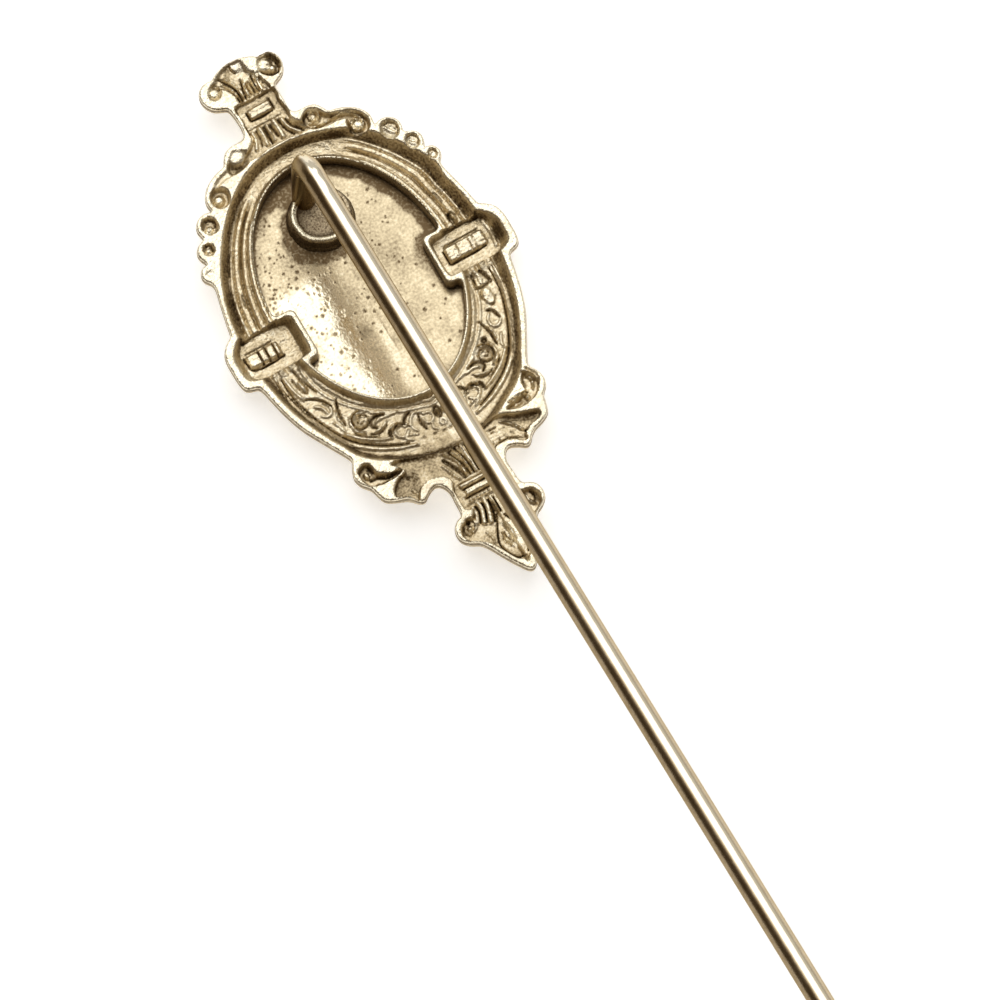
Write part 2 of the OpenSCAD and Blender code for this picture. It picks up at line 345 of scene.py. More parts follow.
@dataclass(frozen=True)
class TonedMetal:
    """A metal skin that is light on its high parts and darker in its hollows, from a per-vertex tone
    that holds patina together with painted shade and painted light.

    As the tone grows, the colour runs from light over middle to dark and the roughness from
    polish to dull. Mottle and speckle are the shares of a coarse and a fine noise in it, grain is
    the strength of the fine bump, and edge tints what shines at a grazing angle.
    """

    name: str
    light: Rgb
    middle: Rgb
    dark: Rgb
    polish: float
    dull: float
    mottle: float
    speckle: float
    grain: float
    grain_mm: float
    edge: Rgb = (1.0, 1.0, 1.0)
    blotches_per_mm: float = 1.4
    bump_mm: float = 0.04

    def material(self) -> bpy.types.Material:
        """Builds the shader nodes from the piece's per-vertex tone, which holds patina with painted shade
        and painted light, and noise in object space.
        """
        made = bpy.data.materials.new(self.name)
        made.use_nodes = True
        tree = made.node_tree
        shader = tree.nodes["Principled BSDF"]
        shader.inputs["Metallic"].default_value = 1.0
        shader.inputs["Specular Tint"].default_value = (*self.edge, 1)
        place = tree.nodes.new("ShaderNodeTexCoord")
        # This attribute holds patina together with painted shade and painted light.
        tone_attribute = tree.nodes.new("ShaderNodeAttribute")
        tone_attribute.attribute_name = "tarnish_and_painted_light"
        blotch = self._noise(tree, place, self.blotches_per_mm / MM, 5)
        speck = self._noise(tree, place, 1 / (self.grain_mm * MM), 3)
        mixed = self._math(tree, "MULTIPLY_ADD", self._spread(tree, blotch), self.mottle,
                           tone_attribute.outputs["Fac"])
        fac = self._math(tree, "MULTIPLY_ADD", self._spread(tree, speck), self.speckle, mixed)
        ramp = tree.nodes.new("ShaderNodeValToRGB")
        ramp.color_ramp.elements[0].color = (*self.light, 1)
        ramp.color_ramp.elements[1].color = (*self.dark, 1)
        ramp.color_ramp.elements.new(0.5).color = (*self.middle, 1)
        tree.links.new(fac, ramp.inputs["Fac"])
        tree.links.new(ramp.outputs["Color"], shader.inputs["Base Color"])
        rough = tree.nodes.new("ShaderNodeMapRange")
        rough.inputs["To Min"].default_value = self.polish
        rough.inputs["To Max"].default_value = self.dull
        tree.links.new(fac, rough.inputs["Value"])
        tree.links.new(rough.outputs["Result"], shader.inputs["Roughness"])
        bump = tree.nodes.new("ShaderNodeBump")
        bump.inputs["Strength"].default_value = self.grain
        bump.inputs["Distance"].default_value = self.bump_mm * MM
        tree.links.new(speck.outputs["Fac"], bump.inputs["Height"])
        tree.links.new(bump.outputs["Normal"], shader.inputs["Normal"])
        return made

    @staticmethod
    def _spread(tree: bpy.types.NodeTree, noise_node: bpy.types.Node) -> bpy.types.NodeSocket:
        """Widens a noise to run from -1 to 1."""
        node = tree.nodes.new("ShaderNodeMapRange")
        node.inputs["From Min"].default_value = NOISE_LOW
        node.inputs["From Max"].default_value = NOISE_HIGH
        node.inputs["To Min"].default_value = -1.0
        tree.links.new(noise_node.outputs["Fac"], node.inputs["Value"])
        return node.outputs["Result"]

    def _noise(self, tree: bpy.types.NodeTree, place: bpy.types.Node, scale: float,
               detail: float) -> bpy.types.Node:
        """Adds a noise on object coordinates."""
        node = tree.nodes.new("ShaderNodeTexNoise")
        node.inputs["Scale"].default_value = scale
        node.inputs["Detail"].default_value = detail
        tree.links.new(place.outputs["Object"], node.inputs["Vector"])
        return node

    def _math(self, tree: bpy.types.NodeTree, kind: str,
              *values: "float | bpy.types.NodeSocket") -> bpy.types.NodeSocket:
        """Adds one arithmetic node and returns its result."""
        node = tree.nodes.new("ShaderNodeMath")
        node.operation = kind
        for socket, value in zip(node.inputs, values):
            if isinstance(value, (int, float)):
                socket.default_value = value
            else:
                tree.links.new(value, socket)
        return node.outputs["Value"]


STRUCK_BRASS = TonedMetal(
    "struck_brass", light=(0.9, 0.82, 0.64), middle=(0.6, 0.485, 0.305), dark=(0.105, 0.069, 0.032),
    polish=0.26, dull=0.5, mottle=0.08, speckle=0.17, grain=1.0, grain_mm=0.11)
SATIN_BRASS = TonedMetal(
    "satin_brass", light=(0.88, 0.8, 0.62), middle=(0.52, 0.43, 0.28), dark=(0.1, 0.066, 0.033),
    polish=0.1, dull=0.3, mottle=0.05, speckle=0.13, grain=0.12, grain_mm=0.13)
WIRE_BRASS = TonedMetal(
    "wire_brass", light=(0.9, 0.82, 0.66), middle=(0.6, 0.5, 0.35), dark=(0.15, 0.092, 0.034),
    polish=0.14, dull=0.3, mottle=0.04, speckle=0.03, grain=0.08, grain_mm=0.1, edge=(0.8, 0.7, 0.52))
SOLDERED_BRASS = TonedMetal(
    "soldered_brass", light=(0.9, 0.82, 0.62), middle=(0.5, 0.4, 0.26), dark=(0.11, 0.072, 0.04),
    polish=0.2, dull=0.5, mottle=0.1, speckle=0.2, grain=0.8, grain_mm=0.09)


@dataclass(frozen=True)
class PaleFloor:
    """The plain floor that the pin lies on."""

    name: str = "pale_floor"
    colour: Rgb = (0.88, 0.88, 0.88)
    glow: float = 0.5

    def material(self) -> bpy.types.Material:
        """Builds a matt white skin that also glows a little, as an overexposed sheet does."""
        made = bpy.data.materials.new(self.name)
        made.use_nodes = True
        shader = made.node_tree.nodes["Principled BSDF"]
        shader.inputs["Base Color"].default_value = (*self.colour, 1)
        shader.inputs["Roughness"].default_value = 1.0
        shader.inputs["Specular IOR Level"].default_value = 0.0
        shader.inputs["Emission Color"].default_value = (1, 1, 1, 1)
        shader.inputs["Emission Strength"].default_value = self.glow
        return made


def build_mesh(name: str, verts: np.ndarray, faces: list, tarnish_and_painted_light: np.ndarray,
               finish: TonedMetal, sharp: float = 62.0) -> bpy.types.Object:
    """Makes a piece of the object from arrays.

    Args:
        name: the piece's name.
        verts: places in metres.
        faces: vertex numbers of each face, anticlockwise from outside.
        tarnish_and_painted_light: how dark each vertex is, 0 to 1.
        finish: the piece's skin.
        sharp: the angle in degrees from which an edge stays sharp.

    Returns:
        The piece, riding the root body.
    """
    mesh = bpy.data.meshes.new(name)
    mesh.from_pydata(verts.tolist(), [], faces)
    mesh.shade_smooth()
    mesh.set_sharp_from_angle(angle=math.radians(sharp))
    # The per-vertex tone holds patina together with painted shade and painted light.
    layer = mesh.attributes.new("tarnish_and_painted_light", "FLOAT", "POINT")
    layer.data.foreach_set("value", np.clip(tarnish_and_painted_light, 0, 1).astype(np.float32))
    mesh.materials.append(finish.material())
    piece = bpy.data.objects.new(name, mesh)
    bpy.context.scene.collection.objects.link(piece)
    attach(piece, "root")
    return piece


def turned_faces(rows: int, sides: int) -> list:
    """Joins the rings of a turned body and closes both its ends.

    The vertices are numbered ring by ring, and the two after them stand in the middle of the
    first and of the last ring.

    Args:
        rows: how many rings there are.
        sides: how many points each ring has.

    Returns:
        The faces, which look out where the rings run anticlockwise seen from the last one.
    """
    k = np.arange(sides)
    nxt = (k + 1) % sides
    faces = []
    for a in range(0, (rows - 1) * sides, sides):
        b = a + sides
        faces += np.column_stack([a + k, a + nxt, b + nxt, b + k]).tolist()
    last, low = (rows - 1) * sides, rows * sides
    faces += np.column_stack([np.full(sides, low), nxt, k]).tolist()
    faces += np.column_stack([np.full(sides, low + 1), last + k, last + nxt]).tolist()
    return faces


@dataclass
class SheetSolid:
    """A sheet over a plan, meshed on a square grid whose edge is drawn onto the outline."""

    pitch: float
    lo: tuple[float, float]
    hi: tuple[float, float]
    signed: Heights
    points: np.ndarray = field(init=False)
    numbers: np.ndarray = field(init=False)
    keep: np.ndarray = field(init=False)
    edge: np.ndarray = field(init=False)
    outward: np.ndarray = field(init=False)

    def __post_init__(self) -> None:
        """Picks the grid's squares inside the outline and draws their edge onto it."""
        count = np.ceil(np.subtract(self.hi, self.lo) / self.pitch).astype(int) // 2 * 2 + 2
        i, j = np.meshgrid(*(np.arange(n) for n in count), indexing="ij")
        middle = np.column_stack([i.ravel(), j.ravel()]) * self.pitch + self.lo + self.pitch / 2
        keep = (self.signed(middle) < 0).reshape(count)
        keep[[0, -1]] = False
        keep[:, [0, -1]] = False
        self.keep = self._without_pinches(keep)
        around = np.zeros(count + 1, int)
        for di, dj in product((0, 1), (0, 1)):
            around[di:di + count[0], dj:dj + count[1]] += self.keep
        used = around > 0
        self.numbers = np.full(count + 1, -1)
        self.numbers[used] = np.arange(used.sum())
        self.points = np.argwhere(used) * self.pitch + np.asarray(self.lo)
        self.edge = around[used] < 4
        self._snap()

    @staticmethod
    def _without_pinches(keep: np.ndarray) -> np.ndarray:
        """Fills squares until none touch at a corner only."""
        while True:
            a, b, c, d = keep[:-1, :-1], keep[1:, :-1], keep[:-1, 1:], keep[1:, 1:]
            bad = (a & d & ~b & ~c) | (b & c & ~a & ~d)
            if not bad.any():
                return keep
            i, j = np.nonzero(bad)
            keep[i, j] = keep[i + 1, j] = True

    def _slope(self, p: np.ndarray) -> np.ndarray:
        """Returns the unit direction in which the signed distance grows."""
        step = self.pitch / 4
        du = self.signed(p + (step, 0)) - self.signed(p - (step, 0))
        dv = self.signed(p + (0, step)) - self.signed(p - (0, step))
        g = np.column_stack([du, dv])
        return g / np.maximum(np.linalg.norm(g, axis=1), 1e-9)[:, None]

    def _snap(self) -> None:
        """Moves the edge's points onto the outline and evens the points beside them."""
        p = self.points[self.edge]
        for _ in range(3):
            p = p - self._slope(p) * self.signed(p)[:, None]
        self.points[self.edge] = p
        self.outward = self._slope(p)
        n = self.numbers
        for _ in range(2):
            total, seen = np.zeros_like(self.points), np.zeros(len(self.points))
            for a, b in ((n[1:], n[:-1]), (n[:, 1:], n[:, :-1])):
                both = (a >= 0) & (b >= 0)
                np.add.at(total, a[both], self.points[b[both]])
                np.add.at(total, b[both], self.points[a[both]])
                np.add.at(seen, a[both], 1)
                np.add.at(seen, b[both], 1)
            beside = ~self.edge & self._beside_edge()
            self.points[beside] = total[beside] / seen[beside][:, None]

    def _beside_edge(self) -> np.ndarray:
        """Returns which points have a neighbour on the edge."""
        grid = np.zeros(self.numbers.shape, bool)
        grid[self.numbers >= 0] = self.edge
        near = grid.copy()
        near[1:] |= grid[:-1]
        near[:-1] |= grid[1:]
        near[:, 1:] |= grid[:, :-1]
        near[:, :-1] |= grid[:, 1:]
        return near[self.numbers >= 0]

    def blurred(self, values: np.ndarray, reach: float) -> np.ndarray:
        """Averages values over a square about each point, three times, inside the sheet only."""
        mask = (self.numbers >= 0).astype(float)
        grid = np.zeros(self.numbers.shape)
        k = max(1, round(reach / self.pitch))
        grid[self.numbers >= 0] = values
        for _ in range(3):
            total, weight = self._box(grid * mask, k), self._box(mask, k)
            grid = total / np.maximum(weight, 1e-9)
        return grid[self.numbers >= 0]

    @staticmethod
    def _box(grid: np.ndarray, k: int) -> np.ndarray:
        """Sums a grid over squares of 2k+1 points a side."""
        for axis in (0, 1):
            pads = [(0, 0), (0, 0)]
            pads[axis] = (k + 1, k)
            run = np.cumsum(np.pad(grid, pads), axis)
            n = grid.shape[axis]
            high = np.take(run, np.arange(2 * k + 1, n + 2 * k + 1), axis)
            grid = high - np.take(run, np.arange(n), axis)
        return grid

    def mesh(self, plan: Plan, back: np.ndarray, front: np.ndarray,
             pushes: np.ndarray, heights: np.ndarray) -> tuple[np.ndarray, list, np.ndarray, int]:
        """Joins a back, walls and a front into one closed skin.

        Args:
            plan: the plan's place.
            back: height of each point on the back.
            front: height of each point on the front.
            pushes: rows by edge points, how far a wall's row stands out.
            heights: rows by edge points, a wall row's height.

        Returns:
            The places, the faces, for each vertex the number of its plan point, and how many
            vertices come after the last of the walls.
        """
        n = self.numbers
        edge_ids = np.flatnonzero(self.edge)
        spot = np.full(len(self.points), -1)
        spot[edge_ids] = np.arange(len(edge_ids))
        verts, source = [plan.place(*self.points.T, back)], [np.arange(len(self.points))]
        faces = self._squares(n, self.keep).tolist()
        a, b = self._edge_spans(n)
        upper = edge_ids
        base = len(self.points)
        for push, height in zip(pushes, heights):
            place = self.points[edge_ids] + self.outward * push[:, None]
            verts.append(plan.place(*place.T, height))
            source.append(edge_ids)
            lower = base + np.arange(len(edge_ids))
            faces += self._wall(upper, lower, spot[a], spot[b])
            upper, base = lower, base + len(edge_ids)
        rings = self._front_rings(n)
        seen = np.unique(np.concatenate([r.ravel() for r in rings]))
        under = np.full(len(self.points), -1)
        under[seen] = base + np.arange(len(seen))
        verts.append(plan.place(*self.points[seen].T, front[seen]))
        source.append(seen)
        faces += self._wall(upper, under[edge_ids], spot[a], spot[b])
        for ring in rings:
            faces += under[ring[:, ::-1]].tolist()
        return np.vstack(verts), faces, np.concatenate(source), len(seen)

    @staticmethod
    def _squares(n: np.ndarray, picked: np.ndarray) -> np.ndarray:
        """Returns the four corners of each picked square, anticlockwise."""
        i, j = np.nonzero(picked)
        return np.column_stack([n[i, j], n[i + 1, j], n[i + 1, j + 1], n[i, j + 1]])

    def _edge_spans(self, n: np.ndarray) -> tuple[np.ndarray, np.ndarray]:
        """Returns both ends of each edge span, with the sheet on its left."""
        k = np.pad(self.keep, 1)
        inner = k[1:-1, 1:-1]
        sides = ((k[1:-1, :-2], (0, 0), (1, 0)), (k[2:, 1:-1], (1, 0), (1, 1)),
                 (k[1:-1, 2:], (1, 1), (0, 1)), (k[:-2, 1:-1], (0, 1), (0, 0)))
        first, last = [], []
        for other, (ai, aj), (bi, bj) in sides:
            i, j = np.nonzero(inner & ~other)
            first.append(n[i + ai, j + aj])
            last.append(n[i + bi, j + bj])
        return np.concatenate(first), np.concatenate(last)

    @staticmethod
    def _wall(upper: np.ndarray, lower: np.ndarray, a: np.ndarray, b: np.ndarray) -> list:
        """Returns the faces between two rows of edge points."""
        return np.column_stack([upper[a], lower[a], lower[b], upper[b]]).tolist()

    def _front_rings(self, n: np.ndarray) -> list:
        """Returns the front's faces: four squares merged to one wherever none is on the edge."""
        k = self.keep
        block = k[::2, ::2] & k[1::2, ::2] & k[::2, 1::2] & k[1::2, 1::2]
        near = np.zeros(n.shape, bool)
        near[n >= 0] = self.edge
        for di, dj in product((0, 1, 2), (0, 1, 2)):
            block &= ~near[di:di + k.shape[0]:2, dj:dj + k.shape[1]:2]
        wide = np.pad(block, 1)
        beside = {"w": wide[:-2, 1:-1], "e": wide[2:, 1:-1],
                  "s": wide[1:-1, :-2], "n": wide[1:-1, 2:]}
        rings = []
        for w, e, s, t in product((False, True), repeat=4):
            picked = block & (beside["w"] == w) & (beside["e"] == e)
            i, j = np.nonzero(picked & (beside["s"] == s) & (beside["n"] == t))
            steps = [(0, 0)] + [(1, 0)] * (not s) + [(2, 0)] + [(2, 1)] * (not e)
            steps += [(2, 2)] + [(1, 2)] * (not t) + [(0, 2)] + [(0, 1)] * (not w)
            rings.append(np.column_stack([n[2 * i + di, 2 * j + dj] for di, dj in steps]))
        loose = k & ~np.repeat(np.repeat(block, 2, 0), 2, 1)
        rings.append(self._squares(n, loose))
        return [r for r in rings if len(r)]


@dataclass(frozen=True)
class Opening:
    """The frame's opening: an oval with a tab on either side."""

    middle_v: float = 1.1
    half_u: float = 4.32
    half_v: float = 6.08
    tab_u: float = 3.33
    tab_lo: float = -1.18
    tab_hi: float = 1.36
    round: float = 0.3
    tab_reach: float = 3.0

    def oval(self) -> Ring:
        """Returns the oval without its tabs."""
        return Ring.oval(self.middle_v, self.half_u, self.half_v)

    def signed(self, p: np.ndarray) -> np.ndarray:
        """Returns the distance from the opening's edge, below zero in the opening.

        The oval's distance and the depth in the rounded tab box are joined by a soft maximum.

        Args:
            p: points on the plan.

        Returns:
            The signed distances.
        """
        half = np.array([self.tab_reach, (self.tab_hi - self.tab_lo) / 2]) - self.round
        middle = np.array([self.tab_u + self.tab_reach, (self.tab_hi + self.tab_lo) / 2])
        q = np.abs(Side.BOTH.fold(p) - middle) - half
        box = np.linalg.norm(np.maximum(q, 0), axis=1) + np.minimum(q.max(1), 0) - self.round
        oval = self.oval().signed(p)
        k = self.round
        blend = np.maximum(k - np.abs(oval + box), 0) / k
        return np.maximum(oval, -box) + blend**2 * k / 4


@dataclass
class StruckFrame:
    """The die-struck frame: its flange, channel, straps, shoulders, crest, leaves and pendant."""

    plan: Plan
    finish: TonedMetal
    opening: Opening = Opening()
    lo: tuple[float, float] = (-7.35, -14.9)
    hi: tuple[float, float] = (7.35, 13.1)
    pitch: float = 0.05
    thickness: float = 0.5
    soften: float = 0.12
    lowest: float = -1.6
    lip: float = -1.55
    strap_depth: float = 0.74
    edge_round: float = 0.07
    lean: float = 0.07
    lean_v: float = 10.2
    wider: float = 0.045
    wall_run: float = 0.44
    wall_depth: float = 0.66
    groove_in: float = 0.2
    groove_top: float = -0.91
    groove_foot: float = -1.34
    front_tone: float = 0.2
    # Painted shade on the opening's wall and on the rows of the outer walls.
    hole_shade: float = 0.95
    wall_shades: Sequence[float] = (0.95, 0.8, 0.55, 0.45)
    # Painted shade on the channel's outer wall and in the grooves, and a painted highlight on the ridges.
    channel_wall_shade: float = 0.42
    groove_shade: float = 0.6
    ridge_highlight: float = 0.22
    shade_depth: float = 0.12
    # Painted shade in the hollows, deep parts and steep slopes; the depth tone also stands for some patina.
    cavity_shade: float = 0.2
    depth_tone: float = 0.31
    steep_shade: float = 0.16
    uneven_tone: float = 0.1
    moulding_run: float = 1.95
    moulding: Points = (
        (0, 0), (0.1, 0), (0.14, -0.14), (0.2, -0.1), (0.3, -0.13), (0.37, -0.44), (0.43, -0.46),
        (0.5, -0.4), (0.67, -0.42), (0.75, -0.64), (0.83, -0.64), (0.91, -0.42), (1.14, -0.42),
        (1.2, -0.54), (1.25, -0.54), (1.31, -0.44), (1.43, -0.47), (1.53, -0.64),
    )
    # Painted shade along the grooves of the mouldings.
    moulding_shade: Points = (
        (0.1, 0), (0.15, 0.6), (0.2, 0), (0.3, 0), (0.36, 0.8), (0.44, 0), (0.7, 0), (0.79, 0.8),
        (0.87, 0), (1.14, 0), (1.22, 0.6), (1.29, 0), (1.43, 0), (1.52, 0.6),
    )
    plain_floor: Points = ((0, 0), (0.11, 0), (0.2, -0.3), (0.3, -0.42), (0.9, -0.58), (1.2, -0.64))
    low_floor: Points = ((0, 0), (0.13, 0), (0.27, -0.5), (0.6, -0.56))
    rim_edge: Points = (
        (0, 8.4), (1.5, 8.2), (2.8, 7.5), (3.9, 6.5), (4.75, 5.4), (5.5, 4.1), (5.95, 2.8), (6.18, 1.5),
        (6.25, 0.2), (6.2, -1.0), (6.04, -2.0), (5.8, -3.0), (5.42, -4.0), (4.95, -5.0), (4.65, -5.5),
        (4.4, -6.0), (4.16, -6.35), (3.6, -6.85), (3.0, -7.2), (2.2, -7.65), (1.4, -7.95), (0.7, -8.1),
        (0, -8.12),
    )
    strap_edge: Points = (
        (3.53, 0.2), (3.53, 0.9), (3.62, 1.1), (3.85, 1.18), (4.4, 1.22), (5.0, 1.3), (6.1, 1.33),
        (6.45, 1.12), (6.75, 0.82), (6.92, 0.45), (6.93, 0), (6.92, -0.4), (6.8, -0.7), (6.5, -0.88),
        (6.1, -0.94), (5.0, -0.95), (3.9, -0.93), (3.62, -0.88), (3.53, -0.6),
    )
    strap_floor: Points = (
        (3.92, 0.2), (3.93, 0.9), (4.1, 1.08), (4.6, 1.14), (6.0, 1.15), (6.3, 0.95), (6.43, 0.6),
        (6.45, 0), (6.43, -0.4), (6.3, -0.62), (6.0, -0.74), (4.5, -0.76), (4.05, -0.72), (3.93, -0.5),
    )
    outline: Points = (
        (0, 12.97), (0.3, 12.96), (0.65, 12.87), (1.0, 12.72), (1.18, 12.6), (1.35, 12.63), (1.65, 12.6),
        (1.9, 12.44), (2.05, 12.15), (2.07, 11.88), (1.98, 11.58), (1.78, 11.32), (1.5, 11.16),
        (1.28, 11.06), (1.19, 10.85), (1.17, 10.4), (1.17, 9.9), (1.22, 9.62), (1.38, 9.46),
        (1.7, 9.43), (2.0, 9.42), (2.35, 9.3), (2.58, 9.0), (2.75, 8.75), (3.3, 8.6), (3.9, 8.25),
        (4.22, 7.8), (4.28, 7.45), (4.25, 7.17), (4.6, 7.23), (4.95, 7.15), (5.2, 6.9), (5.28, 6.6),
        (5.22, 6.25), (5.38, 6.12), (5.65, 5.98), (5.82, 5.7), (5.8, 5.4), (5.68, 5.1), (5.85, 5.04),
        (6.05, 4.93), (6.18, 4.65), (6.13, 4.4), (5.95, 4.15), (5.92, 3.85), (6.07, 3.2),
        (6.3, 2.2), (6.42, 1.62), (6.6, 1.45), (6.9, 1.22), (7.12, 0.9), (7.21, 0.5), (7.22, 0),
        (7.21, -0.5), (7.12, -0.93), (6.9, -1.1), (6.58, -1.2), (6.44, -1.45), (6.33, -2), (6.1, -3),
        (5.75, -4), (5.2, -5.05), (4.72, -5.95), (4.6, -6.3), (4.78, -6.65), (4.92, -7.1),
        (4.8, -7.5), (4.5, -7.85), (4.38, -8.3), (4.22, -8.68), (3.85, -8.9), (3.4, -9.05),
        (3.1, -9.25), (2.88, -9.5), (2.65, -9.58), (2.35, -9.38), (2.0, -9.22), (1.75, -9.27),
        (1.57, -9.5), (1.47, -9.85), (1.5, -10.3), (1.52, -10.75), (1.62, -11.02), (1.92, -11.16),
        (2.15, -11.4), (2.23, -11.75), (2.15, -12.08), (1.88, -12.34), (1.5, -12.55), (1.22, -12.95),
        (0.88, -13.6), (0.5, -14.25), (0.22, -14.66), (0, -14.78),
    )
    hollows: Sequence["Dimple | Basin"] = (
        Basin(((1.05, 12.4), (1.2, 12.5), (1.52, 12.52), (1.75, 12.35), (1.88, 12.0), (1.87, 11.65),
               (1.72, 11.43), (1.42, 11.4), (1.15, 11.55), (0.95, 11.78), (0.9, 12.0), (0.95, 12.2)),
              0.36, 0.1, Side.RIGHT),
        Basin(((-1.15, 12.45), (-1.45, 12.33), (-1.66, 12.12), (-1.7, 11.85), (-1.47, 11.64),
               (-1.2, 11.68), (-1.02, 11.9), (-0.98, 12.1), (-1.02, 12.35)), 0.3, 0.09, Side.LEFT),
        Basin(((-0.64, 10.95), (-0.66, 11.4), (-0.86, 11.8), (-1.1, 12.05), (-1.2, 12.3), (-1.15, 12.54),
               (-0.8, 12.8), (-0.4, 12.95), (0, 13.0), (0.3, 12.96), (0.5, 12.8), (0.52, 12.5),
               (0.58, 12.25), (0.72, 12.1), (0.95, 12.0), (0.86, 11.75), (0.87, 11.3), (1.04, 10.95),
               (0, 10.85)), 0.2, 0.22, Side.LEFT),
        Basin(((1.08, 11.0), (1.1, 10.3), (1.1, 9.55), (0, 9.5), (-0.92, 9.55), (-0.93, 10.3),
               (-0.92, 10.95), (0, 11.02)), 0.36, 0.1, Side.LEFT),
        Basin(((1.08, 9.75), (1.15, 9.3), (1.35, 9.0), (1.7, 8.75), (1.9, 8.42), (1.2, 8.35), (0.6, 8.45),
               (0, 8.48), (-0.6, 8.45), (-1.2, 8.35), (-1.9, 8.42), (-1.7, 8.75), (-1.3, 8.95),
               (-1.0, 9.25), (-0.92, 9.75), (0, 9.8)), 0.36, 0.1, Side.LEFT),
        Basin(((1.42, 8.95), (1.68, 9.2), (2.02, 9.28), (2.35, 9.08), (2.6, 8.7), (3.1, 8.5),
               (3.65, 8.3), (4.05, 7.87), (4.13, 7.45), (3.98, 7.1), (3.6, 6.98), (3.22, 7.12),
               (3.05, 7.45), (3.12, 7.8), (3.2, 8.02), (2.8, 8.1), (2.2, 8.14), (1.7, 8.28),
               (1.45, 8.6)), 0.45, 0.13, Side.RIGHT),
        Basin(((-1.4, 8.92), (-1.66, 9.2), (-2.02, 9.32), (-2.36, 9.12), (-2.62, 8.72), (-2.76, 8.4),
               (-2.62, 8.15), (-2.2, 8.12), (-1.7, 8.25), (-1.42, 8.55)), 0.3, 0.2, Side.LEFT),
        Basin(((-3.35, 8.0), (-3.65, 8.08), (-3.98, 7.85), (-4.08, 7.5), (-3.95, 7.15), (-3.65, 7.0),
               (-3.3, 7.12), (-3.1, 7.45), (-3.12, 7.8)), 0.42, 0.15, Side.LEFT),
        Basin(((-2.5, 8.55), (-3.1, 8.44), (-3.55, 8.2), (-3.45, 7.98), (-3.0, 8.12), (-2.5, 8.15)),
              0.1, 0.1, Side.LEFT),
        Dimple((4.7, 6.6), 0.43, 0.28, Side.RIGHT, 1.15),
        Dimple((5.32, 5.6), 0.33, 0.24, Side.RIGHT, 1.15),
        Dimple((5.82, 4.62), 0.22, 0.18, Side.RIGHT, 1.15),
        Dimple((-4.66, 6.6), 0.4, 0.36, Side.LEFT, 1.1),
        Dimple((-5.26, 5.64), 0.28, 0.3, Side.LEFT, 1.1),
        Dimple((-5.78, 4.62), 0.18, 0.04, Side.LEFT),
        Basin(((-4.68, -6.95), (-4.58, -6.82), (-4.23, -6.68), (-4.06, -6.8), (-3.96, -7.05),
               (-3.86, -7.35), (-3.48, -7.6), (-3.18, -7.7), (-2.78, -7.78), (-3.08, -7.95),
               (-3.68, -8.0), (-4.23, -7.92), (-4.53, -7.7), (-4.7, -7.3)), 0.42, 0.1, Side.LEFT),
        Basin(((4.12, -6.35), (4.37, -6.5), (4.57, -6.8), (4.64, -7.1), (4.52, -7.4), (4.32, -7.62),
               (4.02, -7.78), (3.6, -7.88), (3.2, -7.87), (2.75, -7.7), (2.67, -7.6), (2.95, -7.48),
               (3.5, -7.38), (3.85, -7.28), (3.84, -7.05), (3.92, -6.75), (4.1, -6.48)),
              0.42, 0.1, Side.RIGHT),
        Basin(((-3.73, -8.75), (-3.68, -8.5), (-3.43, -8.22), (-3.15, -8.03), (-2.8, -7.93),
               (-2.95, -7.6), (-3.2, -7.3), (-2.6, -7.3), (-1.6, -7.6), (-0.6, -7.7), (-0.6, -9.6),
               (-1.15, -9.5), (-1.2, -9.25), (-1.35, -9.05), (-1.6, -8.93), (-1.9, -8.85),
               (-2.2, -8.87), (-2.5, -8.98), (-2.68, -9.18), (-2.78, -9.38), (-2.88, -9.47),
               (-3.05, -9.27), (-3.18, -9.07), (-3.7, -8.82)), 0.38, 0.09, Side.LEFT),
        Basin(((1.92, -7.62), (2.42, -7.72), (2.92, -7.97), (3.52, -8.17), (3.92, -8.33), (4.0, -8.5),
               (3.75, -8.72), (3.3, -8.82), (2.95, -9.0), (2.9, -9.15), (2.8, -9.36), (2.55, -9.25),
               (2.3, -9.05), (1.9, -8.93), (1.5, -8.93), (1.25, -9.05), (1.12, -9.3), (1.1, -9.6),
               (0.6, -9.6), (0.6, -7.7), (1.3, -7.75)), 0.38, 0.09, Side.RIGHT),
        Basin(((2.0, -7.62), (2.5, -7.72), (3.0, -7.96), (3.6, -8.18), (3.98, -8.36), (3.93, -8.55),
               (3.6, -8.68), (3.2, -8.6), (2.7, -8.35), (2.3, -8.05)), 0.42, 0.2, Side.RIGHT),
        Basin(((1.0, -7.85), (1.0, -9.0), (1.08, -9.4), (1.22, -9.7), (1.26, -10.0), (1.24, -10.5),
               (1.15, -10.95), (0, -11.1), (-1.2, -10.95), (-1.32, -10.5), (-1.35, -10.0),
               (-1.3, -9.7), (-1.15, -9.4), (-1.0, -9.0), (-1.0, -7.85), (0, -7.85)),
              0.4, 0.08, Side.LEFT),
        Basin(((0.9, -10.9), (1.12, -11.18), (1.42, -11.3), (1.78, -11.38), (1.98, -11.62),
               (2.03, -11.92), (1.9, -12.22), (1.6, -12.43), (1.32, -12.6), (1.05, -12.88),
               (0.83, -13.25), (0.65, -13.6), (0.42, -14.0), (0.15, -14.2), (0, -14.22), (0, -10.9)),
              0.4, 0.1),
    )
